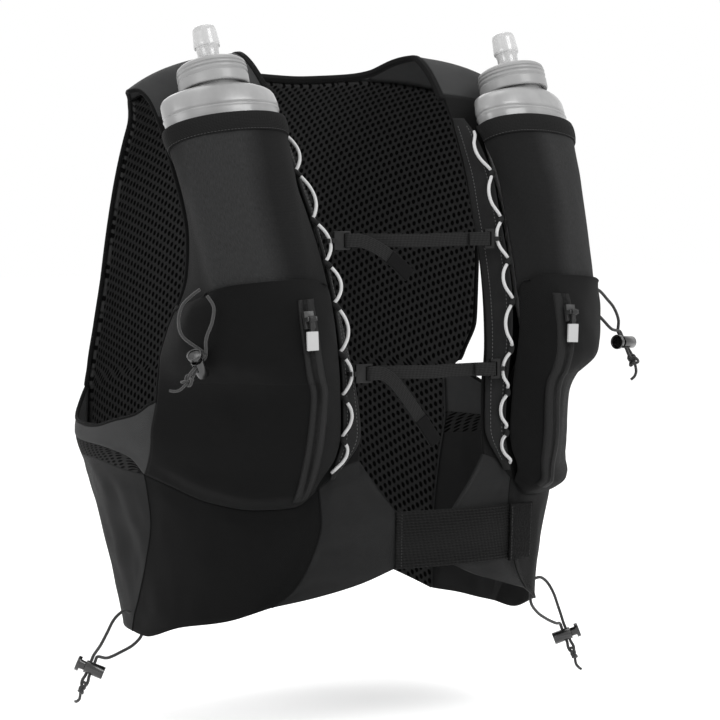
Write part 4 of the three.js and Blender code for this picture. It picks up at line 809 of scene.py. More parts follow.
class Finish:
    """A material round one Principled shader; constants are set on the shader's own sockets."""

    def __init__(self, name, **constants):
        self.material = bpy.data.materials.new(name)
        self.material.use_nodes = True
        self.tree = self.material.node_tree
        self.shader = self.tree.nodes["Principled BSDF"]
        for key, value in constants.items():
            self.shader.inputs[key.replace("_", " ").title().replace("Ior", "IOR")].default_value = value

    def node(self, kind, settings=(), inputs=()):
        node = self.tree.nodes.new(kind)
        for key, value in dict(settings).items():
            setattr(node, key, value)
        for key, value in dict(inputs).items():
            if isinstance(value, Value):
                self.tree.links.new(value.socket, node.inputs[key])
            elif isinstance(value, bpy.types.NodeSocket):
                self.tree.links.new(value, node.inputs[key])
            else:
                node.inputs[key].default_value = value
        return node

    def uv(self):
        """Length across and along the cloth, in metres."""
        split = self.node("ShaderNodeSeparateXYZ", (), {0: self.node("ShaderNodeTexCoord").outputs["UV"]})
        return Value(self.tree, split.outputs[0]), Value(self.tree, split.outputs[1])

    def mottle(self, scale, detail=2.0, stretch=(1, 1, 1), space="Object"):
        source = self.node("ShaderNodeTexCoord").outputs[space]
        mapped = self.node("ShaderNodeMapping", (), {"Vector": source, "Scale": stretch})
        made = self.node("ShaderNodeTexNoise", (),
                         {"Vector": mapped.outputs[0], "Scale": scale, "Detail": detail})
        return Value(self.tree, made.outputs["Fac"])

    def colour(self, first, second, share):
        made = self.node("ShaderNodeMix", {"data_type": "RGBA"},
                         {"Factor": share, "A": (*first, 1), "B": (*second, 1)})
        self.tree.links.new(made.outputs["Result"], self.shader.inputs["Base Color"])

    def feed(self, socket, value):
        self.tree.links.new(value.socket, self.shader.inputs[socket])

    def relief(self, height, distance, strength=1.0):
        made = self.node("ShaderNodeBump", (), {"Height": height, "Distance": distance, "Strength": strength})
        self.tree.links.new(made.outputs["Normal"], self.shader.inputs["Normal"])


def placed(x, y, z, place):
    """Matrix from three directions and a place."""
    return Matrix([[*(float(value[k]) for value in (x, y, z, place))] for k in range(3)] + [[0, 0, 0, 1]])


def tint(grey, cool=0.0):
    return (grey, grey * (1 + cool * 0.5), grey * (1 + cool))


def woven(name, grey, pitch, roughness, spread=0.25, depth=0.00012, sheen=0.02, cool=0.02):
    """Plain weave: the product of two thread waves, with mottled colour."""
    made = Finish(name, roughness=roughness, sheen_weight=sheen, sheen_roughness=0.5, specular_ior_level=0.06)
    u, v = made.uv()
    thread = u.wave(pitch) * v.wave(pitch)
    made.colour(tint(grey * (1 - spread), cool), tint(grey * (1 + spread), cool),
                made.mottle(140, 4) * 0.7 + thread * 0.15 + 0.15)
    made.relief(thread + made.mottle(900, 2) * 0.6, depth)
    return made.material


def heathered(name, colours):
    """Stretched knit: fine vertical streaks, paler in the middle of each row and darker towards the row's
    sides.
    """
    made = Finish(name, roughness=0.85, sheen_weight=0.02, sheen_roughness=0.6, specular_ior_level=0.08)
    u, v = made.uv()
    streak = made.mottle(1, 3, (1700, 260, 1), "UV")
    speck = made.mottle(1, 2, (2600, 2200, 1), "UV")
    side = 1 - u.math("ABSOLUTE").ramp(0.020, 0.037)
    made.colour(tint(colours[0], .02), tint(colours[1], .02),
                (streak * 0.9 + speck * 0.5 - 0.35) * (side * 0.75 + 0.25) * 1.3 + side * 0.25)
    made.relief(u.wave(0.0009) * 0.6 + v.wave(0.0011) * 0.4 + streak, 0.00010)
    return made.material


def spacer_mesh(name, dark, pale):
    """Staggered open cells: a product of two waves, high on the yarns and low in the holes. The holes are
    painted near black as painted shade, and the yarns' slopes into the holes are painted darker in random
    patches: random tone together with painted shade at the holes' rims.
    """
    made = Finish(name, roughness=0.75, specular_ior_level=0.05)
    u, v = made.uv()
    wander = made.mottle(260, 2) * 0.0006
    across = u + wander
    cell = across.wave(2 * MESH_PITCH[0], math.pi / 2) * v.wave(MESH_PITCH[1])
    cell = cell + across.wave(MESH_PITCH[0], math.pi / 2) * 0.42
    hole = cell.ramp(0.05, 0.50)
    ridge = cell.ramp(-0.9, 0.05) * made.mottle(700, 2)
    # Painted shade: near black in the holes, and darker in patches on the yarns round them.
    made.colour(tint(pale), tint(dark), hole + ridge * 0.45 * (1 - hole))
    fine = (u + v).wave(0.0011) * 0.10
    made.relief(fine - hole - ridge * 0.3, 0.0012, 1.0)
    return made.material


def ribbed(name, grey, pitch, cross, depth=0.0003, roughness=0.75, along=False):
    """Elastic webbing: ribs across one direction, small ticks across the other."""
    made = Finish(name, roughness=roughness, specular_ior_level=0.12)
    u, v = made.uv()
    if along:
        u, v = v, u
    rib = v.wave(pitch)
    tick = (u + v * 0.25).wave(cross)
    made.colour(tint(grey * 0.55), tint(grey * 1.35),
                rib * 0.33 + tick * 0.18 + made.mottle(500, 3) * 0.5 + 0.2)
    made.relief(rib + tick * 0.4, depth)
    return made.material


def braided(name, grey, pitch, depth, roughness=0.6):
    """Braid: two slanting waves crossing along the cord."""
    made = Finish(name, roughness=roughness, sheen_weight=0.2, specular_ior_level=0.3)
    u, v = made.uv()
    weave = (u * 1.0 + v).wave(pitch) * (u * -1.0 + v).wave(pitch)
    made.colour(tint(grey * 0.72), tint(grey * 1.1), weave * 0.5 + 0.5)
    made.relief(weave, depth)
    return made.material


def hook_pile(name):
    """Hook-and-loop face: a speckled pile with a plain woven border."""
    made = Finish(name, roughness=0.9, specular_ior_level=0.1)
    speck = made.mottle(1600, 3)
    made.colour(tint(0.003), tint(0.020), speck.ramp(0.5, 0.75))
    made.relief(speck, 0.0007)
    return made.material


def plastic(name, grey, roughness, coat=0.0, spread=0.08, depth=0.00003, cool=0.0, **constants):
    made = Finish(name, roughness=roughness, coat_weight=coat, coat_roughness=0.15, **constants)
    cloud = made.mottle(90, 3)
    made.colour(tint(grey * (1 - spread), cool), tint(grey * (1 + spread), cool), cloud)
    made.feed("Roughness", cloud * 0.12 + (roughness - 0.05))
    made.relief(made.mottle(1500, 2), depth)
    return made.material


def film(name, grey):
    """Frosted flask film: cloudy, softly glossy and a little see-through."""
    made = Finish(name, roughness=0.30, coat_weight=0.5, coat_roughness=0.18, transmission_weight=0.10,
                  ior=1.42)
    cloud = made.mottle(45, 3, (1, 1, 0.6))
    made.colour(tint(grey * 0.80), tint(grey * 1.15), cloud.ramp(0.3, 0.7))
    made.relief(cloud, 0.0012)
    return made.material


def pull_tab(name, grey):
    """Zip pull: a dark link above, and a pale moulded tab below it."""
    made = Finish(name, roughness=0.5, specular_ior_level=0.3)
    split = made.node("ShaderNodeSeparateXYZ", (), {0: made.node("ShaderNodeTexCoord").outputs["Object"]})
    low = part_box("zip_pull_right")[0][2] + PULL_TAB * MM
    link = Value(made.tree, split.outputs[2]).ramp(low, low + 0.0004)
    made.colour(tint(grey), tint(0.01), link)
    made.relief(made.mottle(1500, 2), 0.00003)
    return made.material


class VestSizes(bpy.types.PropertyGroup):
    cloth_wall: FloatProperty(name="Cloth", description="Thickness of the body cloth", default=0.0018,
                              subtype="DISTANCE", unit="LENGTH")
    pocket_wall: FloatProperty(name="Pocket cloth", description="Thickness of the pockets' cloth",
                               default=0.0014, subtype="DISTANCE", unit="LENGTH")
    mesh_wall: FloatProperty(name="Mesh", description="Thickness of the back's mesh", default=0.0026,
                             subtype="DISTANCE", unit="LENGTH")
    lace_width: FloatProperty(name="Lace", description="Diameter of the side laces", default=0.0024,
                              subtype="DISTANCE", unit="LENGTH")
    fold_height: FloatProperty(name="Folds", description="Height of the cloth's soft folds", default=0.0010,
                               subtype="DISTANCE", unit="LENGTH")


class VestColours(bpy.types.PropertyGroup):
    shell: FloatProperty(name="Shell", description="Grey of the shoulder and underarm cloth", default=0.033)
    # The flank grey is the shell cloth's grey darkened as painted shade: the side and waist panels are the
    # same fabric, painted darker for the weaker light on the vest's lower parts.
    flank: FloatProperty(name="Flanks", description="Grey of the side and waist cloth", default=0.013)
    pocket: FloatProperty(name="Pockets", description="Grey of the pocket cloth", default=0.0036)
    knit: FloatProperty(name="Flask pockets", description="Grey of the flask pockets' knit", default=0.025)
    webbing: FloatProperty(name="Webbing", description="Grey of the straps and the waistband", default=0.0115)
    lace: FloatProperty(name="Lace", description="Grey of the side laces", default=0.50)
    film: FloatProperty(name="Flasks", description="Grey of the flasks' film", default=0.25)
    floor: FloatVectorProperty(name="Floor", description="Colour of the floor", subtype="COLOR", size=3,
                               default=(0.93, 0.93, 0.93))


def finishes():
    """The vest's materials by name, made on first use."""
    if "made" in FINISHES:
        return FINISHES["made"]
    colours = bpy.context.scene.vest_colours
    FINISHES["made"] = dict(
        shell=woven("shell_cloth", colours.shell, 0.0011, 0.62, 0.16),
        # Painted shade: the flank finish is the shell weave with the darker flank grey.
        flank=woven("flank_cloth_painted_shade", colours.flank, 0.0011, 0.62, 0.16),
        pocket=woven("pocket_cloth", colours.pocket, 0.0009, 0.7, 0.2),
        tape=woven("tape_cloth", 0.011, 0.0010, 0.6, 0.2),
        binding=woven("binding_cloth", 0.0045, 0.0008, 0.8, 0.2),
        knit=heathered("flask_knit", (0.0035, colours.knit)),
        hem=ribbed("stretch_hem", 0.0055, 0.0011, 0.002, 0.0001),
        # The near black 0.0002 is painted shade for the mesh's holes.
        mesh=spacer_mesh("spacer_mesh", 0.0002, 0.027),
        webbing=ribbed("webbing", colours.webbing, 0.0012, 0.003, 0.0001, along=True),
        elastic=ribbed("elastic_band", colours.webbing * 0.54, 0.0021, 0.0034, 0.0004),
        pile=hook_pile("hook_pile"),
        lace=braided("lace_braid", colours.lace, 0.0016, 0.00012),
        cord=braided("pole_cord_braid", 0.022, 0.0014, 0.00012),
        film=film("flask_film", colours.film),
        cap=plastic("cap_plastic", 0.215, 0.40, 0.15),
        valve=plastic("valve_silicone", 0.55, 0.14, 0.6, transmission_weight=0.35, ior=1.42),
        hard=plastic("hard_plastic", 0.005, 0.25, 0.5),
        clip=plastic("clip_plastic", 0.006, 0.45, specular_ior_level=0.2),
        metal=plastic("slider_metal", 0.03, 0.40, 0.1, metallic=0.5),
        pull=pull_tab("pull_tab", 0.36),
        zip=ribbed("zip_tape", 0.012, 0.0009, 0.0012, 0.00012, 0.5),
        thread=plastic("thread", 0.03, 0.6),
        pale_thread=plastic("pale_thread", 0.10, 0.6),
    )
    return FINISHES["made"]


FINISHES = {}


def sheet(points):
    """Works out a cloth piece's size from its own middle lines, and its area; neither is kept."""
    wide = np.linalg.norm(np.diff(points, axis=1), axis=-1).sum(1)
    tall = np.linalg.norm(np.diff(points, axis=0), axis=-1).sum(0)
    du, dv = np.gradient(points, axis=1), np.gradient(points, axis=0)
    area = np.linalg.norm(np.cross(du, dv), axis=-1)[:-1, :-1].sum() * MM * MM
    size = [wide.max() * MM, tall.max() * MM]
    area = float(np.clip(area, 0.31 * size[0] * size[1], size[0] * size[1]))


class VEST_OT_stage(bpy.types.Operator):
    """Camera, pale floor, soft lights and white surroundings"""
    bl_idname = "vest.stage"
    bl_label = "Stage"

    def execute(self, context):
        turn, rise = math.radians(CAMERA["azimuth"]), math.radians(CAMERA["elevation"])
        distance, pixels = CAMERA["distance"], CAMERA["pixels_per_mm"]
        back = np.array([math.sin(turn) * math.cos(rise), -math.cos(turn) * math.cos(rise), math.sin(rise)])
        right = np.array([math.cos(turn), math.sin(turn), 0])
        up = np.cross(back, right)
        place = np.array(CAMERA["target"]) + right * CAMERA["right"] + up * CAMERA["up"] + back * distance
        data = bpy.data.cameras.new("camera")
        data.sensor_width = SENSOR
        data.lens = pixels * distance / PICTURE * SENSOR
        data.clip_end = 20
        camera = bpy.data.objects.new("camera", data)
        camera.matrix_world = placed(right, up, back, place * MM)
        context.scene.collection.objects.link(camera)
        context.scene.camera = camera
        context.scene.view_settings.view_transform = "Standard"
        self.floor(context)
        for name, spot, size, power in LIGHTS:
            lamp = bpy.data.lights.new(name, "AREA")
            lamp.size, lamp.energy = size, power
            light = bpy.data.objects.new(name, lamp)
            way = unit(np.array(spot) - LIT_POINT)
            side = unit(np.cross((0, 0.01, 1), way))
            top = np.cross(way, side)
            light.matrix_world = placed(side, top, way, spot)
            context.scene.collection.objects.link(light)
        world = bpy.data.worlds.new("surroundings")
        world.use_nodes = True
        world.node_tree.nodes["Background"].inputs["Color"].default_value = (1, 1, 1, 1)
        world.node_tree.nodes["Background"].inputs["Strength"].default_value = 1.0
        context.scene.world = world
        return {"FINISHED"}

    def floor(self, context):
        low, far = CAD_BOX[0][2] - FLOOR_DROP, FLOOR_REACH
        mesh = bpy.data.meshes.new("floor")
        corners = [(x, y, low) for x, y in ((-far, -far), (far, -far), (far, far), (-far, far))]
        mesh.from_pydata(corners, [], [(0, 1, 2, 3)])
        floor = bpy.data.objects.new("floor", mesh)
        context.scene.collection.objects.link(floor)
        made = Finish("floor", roughness=1.0, base_color=(*context.scene.vest_colours.floor, 1),
                      specular_ior_level=0.0, emission_color=(1, 1, 1, 1), emission_strength=0.16)
        mesh.materials.append(made.material)


class VEST_OT_pole_cords(bpy.types.Operator):
    """Pole cords with their barrel locks, buttons and knots"""
    bl_idname = "vest.pole_cords"
    bl_label = "Pole cords"

    def execute(self, context):
        look = finishes()
        for name, row in POLE_CORDS.items():
            out = unit(np.array(row["out"], float))
            run = np.array(row["run"], float)
            run = unit(run - out * run.dot(out))
            seat = np.array(row["seat"], float)
            half = CORD / 2 + 0.2
            at = lambda along, rise: seat + run * along + out * rise
            through = [at(-9, -half), at(-6, -half), at(0, -half), at(6, -half), at(10, -1.5 * half),
                       at(13, -1.1 * half), at(14.4, 0), at(13, 1.1 * half), at(10, 1.5 * half), at(6, half),
                       at(0, half), at(-6, half), at(-9, half)]
            route = spline([*row["near"], *through, *row["far"][::-1]], 160)
            line = tube("pole_cord_line_" + name, route, CORD / 2, look["cord"], "pole_cord",
                        nodes=("pole_cord_" + name,))
            knot = self.knot(name, at(15.5, 0), run, out, look)
            lock = moulded("cord_lock_" + name, look["hard"], "hard_plastic", width=0.45)
            moulded("lock_button_" + name, look["hard"], "hard_plastic", body="button_" + name, width=0.3)
            self.rim(name, seat, out, look)
            [float(value) * MM for value in row["near"][0]]
        return {"FINISHED"}

    def knot(self, name, centre, run, out, look):
        """Overhand knot, a three-lobed knot curve, with one loose tail."""
        side = np.cross(run, out)
        t = np.linspace(0, 2 * np.pi, 61)[:-1]
        wide = KNOT_LOBE
        x, y, z = np.sin(t) + 2 * np.sin(2 * t), np.cos(t) - 2 * np.cos(2 * t), -np.sin(3 * t)
        loop = centre + (run * (y * wide)[:, None] + side * (x * wide)[:, None] + out * (z * wide)[:, None])
        start = loop[-1]
        tail = spline([loop[0], start + run * 2, centre + run * 8 + side * 2 - out,
                       centre + run * 11 + side * 4.5, centre + run * 12 + side * 8 + out], 30)
        path = np.vstack([loop[::-1], tail[1:]])
        return tube("cord_knot_" + name, even(path, 150), CORD / 2 * 0.92, look["cord"], "pole_cord", sides=8)

    def rim(self, name, seat, out, look):
        """Raised rim round the button's dished end."""
        top = BUTTON_TOP
        profile = [(4.0, top - 0.3), (5.35, top - 0.3), (5.45, top + 0.2), (5.0, top + 0.75),
                   (4.35, top + 0.6), (4.0, top - 0.3)]
        rings = turned_rings(rounded(np.array(profile), 0.15), seat, out, 48)
        inside = turned_rings(np.array([(4.7, top)]), seat, out, 48)
        piece("lock_rim_" + name, rings, look["hard"], "hard_plastic", closed=True, inside=inside, ends=True,
              body="button_" + name)


class VEST_OT_body_cloth(bpy.types.Operator):
    """Front, shoulder, side, waist and back cloth with its mesh and its bound edges"""
    bl_idname = "vest.body_cloth"
    bl_label = "Body cloth"

    def execute(self, context):
        look = finishes()
        sizes = context.scene.vest_sizes
        fold = sizes.fold_height / MM
        for word, sign in SIDES:
            front, side = on_front(sign), on_side(sign)
            panel = patch(foot_seam, across_line(1.37), edge_line(inner_edge, .700, 1.37),
                          edge_line(outer_edge, .647, 1.37))
            shoulder = patch(across_line(1.37), across_line(1.624), edge_line(inner_edge, 1.37, 1.624),
                             edge_line(outer_edge, 1.37, 1.624))
            head = armhole_seams[sign]
            underarm = patch(mesh_top, head, colour_top, straight((125, .648), (125, ARMHOLE_FOOT[sign][-1])))
            insert = patch(mesh_foot, mesh_top, lambda t: tuple(c + 0 * np.asarray(t) for c in mesh_top(0.0)),
                           straight((125, .688), (125, .648)))
            flank = patch(hem_side, mesh_foot, colour_seam, straight((125, .976), (125, .688)))
            skirt_head = lambda t: to_girth(*foot_seam(FOOT_SPLIT + (1 - FOOT_SPLIT) * t))
            skirt = patch(hem_skirt, skirt_head, lower_seam, colour_seam)
            waist = patch(hem_waist, waist_top, straight((6.2, .867), (6.2, .777)), lower_seam)
            rows = (
                ("front_panel", front, panel, 60, 110, "pocket", "pocket_cloth", [(0.3, (30, 30, 60), 3)]),
                ("shoulder_strap", front, shoulder, 50, 70, "shell", "shell_cloth", [(0.4, (40, 40, 30), 5)]),
                ("underarm_panel", side, underarm, 70, 40, "shell", "shell_cloth", [(1.4, (26, 26, 12), 7)]),
                ("side_mesh", side, insert, 80, 16, "mesh", "spacer_mesh", []),
                # The side and waist panels wear the flank finish, the shell cloth with painted shade.
                ("side_panel", side, flank, 80, 80, "flank", "shell_cloth",
                 [(3.6, (20, 20, 80), 11), (1.3, (12, 12, 18), 12)]),
                ("front_skirt", side, skirt, 80, 70, "pocket", "pocket_cloth",
                 [(2.2, (34, 34, 60), 13), (0.8, (14, 14, 24), 14)]),
                ("waist_panel", side, waist, 70, 60, "flank", "shell_cloth",
                 [(2.8, (60, 60, 13), 17), (1.1, (24, 24, 12), 18)]),
            )
            for name, place, mapping, nu, nv, finish, slot, folds in rows:
                u, v = grid(nu, nv)
                if name == "side_mesh":
                    u = 1 / 12 + 11 / 12 * u
                lift = CLOTH + 0 * u
                points = place(*mapping(u, v), lift)
                points = creased(points, [(height * fold, cell, seed + sign) for height, cell, seed in folds])
                node = f"{name}_{word}"
                made = piece(node + "_cloth", points, look[finish], slot, wall=sizes.cloth_wall / MM,
                             nodes=(node,))
                sheet(points)
            self.armhole(word, sign, look)
            t = np.linspace(0, 1, 120)
            # Seam lines: a raised tube along each seam in the dark binding cloth; the ridge is real, and its
            # dark colour is painted shade for the shadow line along the seam.
            for name, route in (("lower", lower_seam), ("colour", colour_seam)):
                line = on_girth(sign, *route(t), CLOTH + 0.05 + 0 * t)
                tube(f"seam_{name}_{word}", line, 0.55, look["binding"], "pocket_cloth", sides=8)
        self.back(look, sizes, fold)
        self.neck(look)
        return {"FINISHED"}

    def back(self, look, sizes, fold):
        u, v = grid(130, 160)
        lift = CLOTH + 0 * u
        outer = creased(on_body(back_map(0)(u, v)[0] * HALF_WIDTH, back_map(0)(u, v)[1], lift),
                        [(0.9 * fold, (60, 60, 40), 23), (0.4 * fold, (20, 20, 30), 24)])
        made = piece("back_panel_cloth", outer, look["shell"], "shell_cloth", wall=sizes.cloth_wall / MM,
                     nodes=("back_panel",))
        sheet(outer)
        x, path = back_map(.004)(u, v)
        lining = on_body(x * HALF_WIDTH, path, -4 * GAP + 0 * u)
        made = piece("back_mesh_cloth", lining, look["mesh"], "spacer_mesh", wall=sizes.mesh_wall / MM,
                     nodes=("back_mesh",))
        sheet(lining)

        x, path = back_map(0)(*(value[:, 2:-2:2] for value in grid(130, 1)))
        line = on_body(x[1] * HALF_WIDTH, path[1] + .004, CLOTH + 0 * x[1])
        tube("yoke_seam", line, 0.6, look["binding"], "pocket_cloth", sides=8)
        row = slice(3, -3)
        for name, k in (("hem_stitches_back", 2), ("yoke_stitches", -4)):
            stitch_row(name, outer[k, row], back_out(outer)[k, row], look["thread"], 2.6, 1.6, 0.22,
                       "shell_cloth")

    def neck(self, look):
        """Rounded bar carried round the neck edge on the cloth's normal."""
        half = [(float(inner_edge(path)), path) for path in (1.36, 1.43, 1.50, 1.56)]
        half += [(.325, 1.610), (.240, float(yoke_line(.24))), (.120, float(yoke_line(.12)))]
        route = seam([*half, (0, float(yoke_line(0))), *[(-x, path) for x, path in half[::-1]]])
        t = np.linspace(0, 1, 240)
        x, path = route(t)
        point = on_body(x * HALF_WIDTH, path, 0 * t)
        normal = unit(on_body(x * HALF_WIDTH, path, 1 + 0 * t) - point)
        ahead = unit(np.gradient(point, axis=0))
        side = unit(np.cross(normal, ahead))
        rings = swept(point + side * 2.3 + normal * 0.8, oval_bar(2.5, 2.2), side, normal)
        piece("neck_binding_tape", rings, look["binding"], "pocket_cloth", closed=True, ends=True,
              inside=rings.mean(1, keepdims=True), nodes=("neck_binding",))

    def armhole(self, word, sign, look):
        """Narrow bound edge, a round bar carried along the armhole's whole edge."""
        t = np.linspace(0, 1, 60)
        foot = 3 - (1 - ARMHOLE_FOOT[sign][-1]) * HEIGHT / (HEIGHT - CHEST_DROP)
        front_path, back_path = mix(.918, 1.624, t), mix(1.624, foot, t)[1:]
        seam_angle, seam_drop = armhole_seams[sign](1 - t[1:-1])
        line = np.vstack([
            on_body(sign * outer_edge(front_path) * HALF_WIDTH, front_path, 0.8 + 0 * front_path),
            on_body(sign * back_edge(back_path, sign) * HALF_WIDTH, back_path, 0.8 + 0 * back_path),
            on_girth(sign, seam_angle, seam_drop, 0.8 + 0 * seam_angle)])
        line = even(np.vstack([line, line[:1]]), 260)[:-1]
        tube("armhole_edge_" + word, line, 1.5, look["binding"], "pocket_cloth", closed=True, sides=10)


class VEST_OT_pockets(bpy.types.Operator):
    """Flask pockets with their stretch hems, and zip pockets with their zips"""
    bl_idname = "vest.pockets"
    bl_label = "Pockets"

    def execute(self, context):
        look = finishes()
        sizes = context.scene.vest_sizes
        fold = sizes.fold_height / MM
        wall = sizes.pocket_wall / MM
        for word, sign in SIDES:
            u, v = grid(110, 110)
            points = pocket_point(sign, u, mix(MOUTH, FOOT, v), POCKET_CLOTH)
            points = creased(points, [(0.35 * fold, (14, 14, 70), 31 + sign),
                                      (0.2 * fold, (9, 9, 30), 33)], 0.05)
            made = piece(f"flask_pocket_{word}_knit", points, look["knit"], "pocket_cloth", wall=wall,
                         nodes=("flask_pocket_" + word,))
            sheet(points)
            self.hem(word, sign, look)
            u, v = grid(120, 130)
            points = zip_point(sign, u, v, POCKET_CLOTH)
            points = creased(points, [(1.1 * fold, (30, 30, 34), 41 + sign),
                                      (0.5 * fold, (14, 14, 20), 43)], 0.08)
            made = piece(f"zip_pocket_{word}_cloth", points, look["pocket"], "pocket_cloth", wall=wall,
                         nodes=("zip_pocket_" + word,))
            sheet(points)
            self.zip(word, sign, look)
        return {"FINISHED"}

    def hem(self, word, sign, look):
        """Hem band: the pocket's own surface a little proud, thickest in the middle of its height."""
        u, v = grid(160, 14)
        low = POCKET_CLOTH + GAP
        lift = (1.4 * np.sin(np.pi * np.clip(v, 0.02, 0.98)) ** 0.35
                + 0.10 * np.sin(u * 420) * np.sin(np.pi * v))
        drop = MOUTH - 0.0012 + v * (HEM_HEIGHT / HEIGHT + 0.0012)
        base = pocket_point(sign, u, drop, low)
        out = pocket_point(sign, u, drop, low + 1.0) - base
        points = base + out * lift[..., None]
        piece(f"pocket_hem_{word}_band", points, look["hem"], "stretch_hem", wall=1.2,
              nodes=("pocket_hem_" + word,))
        row = len(u) - 2
        stitch_row("hem_stitches_" + word, points[row, 3:-3], out[row, 3:-3], look["thread"], 2.4, 1.5, 0.2)

    def zip(self, word, sign, look):
        """Zip: tape either side of a coil whose teeth are a wave along it."""
        steps = 420
        across = np.array([-1, -.82, -.66, -.5, -.34, -.22, -.12, 0, .12, .22, .34, .5, .66, .82, 1])
        v = np.linspace(.05, .96, steps)
        half = 9 / 180
        u = np.broadcast_to(.15 + across[None] * half, (steps, len(across)))
        v = np.broadcast_to(v[:, None], u.shape)
        teeth = 0.35 * np.sin(np.arange(steps) * 1.5)[:, None]
        place = abs(across)[None]
        rise = 0.7 + 0.9 * smoothstep(.35, .62, place) * (1 - smoothstep(.86, 1, place))
        rise = rise + np.exp(-((place / 0.2) ** 2)) * (0.75 + teeth) - 0.5 * smoothstep(.9, 1, place)
        base = zip_point(sign, u, v, POCKET_CLOTH + GAP)
        out = zip_point(sign, u, v, POCKET_CLOTH + GAP + 1.0) - base
        piece(f"zip_{word}_coil", base + out * rise[..., None], look["zip"], "zip_tape", wall=0.8,
              nodes=("zip_" + word,))
        moulded("zip_slider_" + word, look["metal"], "slider_metal", width=0.35)
        moulded("zip_pull_" + word, look["pull"], "pull_tab", body="pull_" + word, width=0.5)


class VEST_OT_flasks(bpy.types.Operator):
    """Soft flasks with their screw caps and bite valves"""
    bl_idname = "vest.flasks"
    bl_label = "Flasks"

    def execute(self, context):
        look = finishes()
        for word, sign in SIDES:
            self.flask(word, sign, look)
            centre, up, _, _, _ = flask_frame(sign, FLASK["top"])
            r, top = FLASK["cap"], FLASK["cap_height"]
            cap = [(21.4, .4), (r - .6, .4), (r, 1.2), (r, 7.6), (r - .5, 8.2), (r - .9, 8.9), (r - .5, 9.6),
                   (r, 10.3), (r, 11.6), (r - .8, 12.1), (r - .8, 12.6), (r, 13.1), (r, 14.3), (r - .9, 14.8),
                   (r - .9, 15.3), (r - .3, 15.8), (r - .9, 17.6), (r - 2.6, top), (14, top + .1),
                   (13.2, top - .4), (6.2, top - .4), (5.6, top + .2), (4.6, top + .4), (4.6, top + 8),
                   (1.5, top + 8), (1.5, top - 2), (21.4, top - 2), (21.4, .4)]
            rings = turned_rings(rounded(np.array(cap), 0.25, 2), centre, up)
            middle = turned_rings(np.array([(22.9, 9.0)]), centre, up)
            piece(f"flask_cap_{word}_shell", rings, look["cap"], "cap_plastic", closed=True, ends=True,
                  inside=middle, body="cap_" + word, nodes=("flask_cap_" + word,))
            wide, high = FLASK["valve"], top + FLASK["valve_height"]
            valve = [(4.9, top + .5), (wide + 2, top + .5), (wide + 2.2, top + 1.2), (wide + 1.6, top + 2.4),
                     (wide * .88, top + 3.4), (wide * .84, top + 6), (wide * .86, top + 10),
                     (wide * .92, top + 12.4), (wide * 1.02, top + 13.4), (wide * 1.04, top + 15),
                     (wide * .99, top + 20), (wide * .95, top + 25), (wide * .88, high - 1.2),
                     (wide * .70, high - .1), (wide * .30, high), (1.5, high - .2), (1.5, top + 8.4),
                     (4.9, top + 8.4), (4.9, top + .5)]
            rings = turned_rings(rounded(np.array(valve), 0.8, 4), centre, up)
            middle = turned_rings(np.array([(5.5, top + 16)]), centre, up)
            piece(f"bite_valve_{word}_soft", rings, look["valve"], "valve_silicone", closed=True, ends=True,
                  inside=middle, body="cap_" + word, nodes=("bite_valve_" + word,))
        return {"FINISHED"}

    def flask(self, word, sign, look):
        """Film: superellipse sections down the flask, a stepped shoulder and soft dents below it."""
        drops = np.r_[np.linspace(.518, .461, 14), np.linspace(.455, .125, 60), np.linspace(.121, .091, 26)]
        turn = np.linspace(0, 2 * np.pi, 97)[:-1]
        drop, angle = np.meshgrid(drops, turn, indexing="ij")
        step = -1.1 * np.exp(-(((drop - .098) / .0013) ** 2)) + 0.5 * np.exp(-(((drop - .1015) / .0016) ** 2))
        body = flask_point(sign, drop, angle, 0 * drop)
        dents = smoothstep(.098, .112, drop) * (noise(body, (26, 26, 16), 51 + sign) * 1.0
                                               + noise(body, (9, 9, 22), 53) * 0.35)
        body = flask_point(sign, drop, angle, step + np.minimum(dents, 0.3))
        centre, up, across, fore, _ = flask_frame(sign, FLASK["top"])
        rings = [body]
        for wide, deep, rise in FLASK_SHOULDER:
            ahead = fore * (2.3 * min(max(-rise, 0) / 13, 1))
            rings.append((centre + up * rise + ahead + across * (wide * np.cos(turn))[:, None]
                          + fore * (deep * np.sin(turn))[:, None])[None])
        tip = body[:1].mean(1, keepdims=True) + 0 * body[:1] - up * 0.4
        points = np.concatenate([tip, *rings])
        inside = points.mean(1, keepdims=True)
        made = piece(f"flask_{word}_film", points, look["film"], "flask_film", closed=True, inside=inside,
                     wall=0.9, nodes=("flask_" + word,))
        work = bmesh.new()
        work.from_mesh(made.data)
        bmesh.ops.remove_doubles(work, verts=work.verts, dist=1e-6)
        work.to_mesh(made.data)
        work.free()


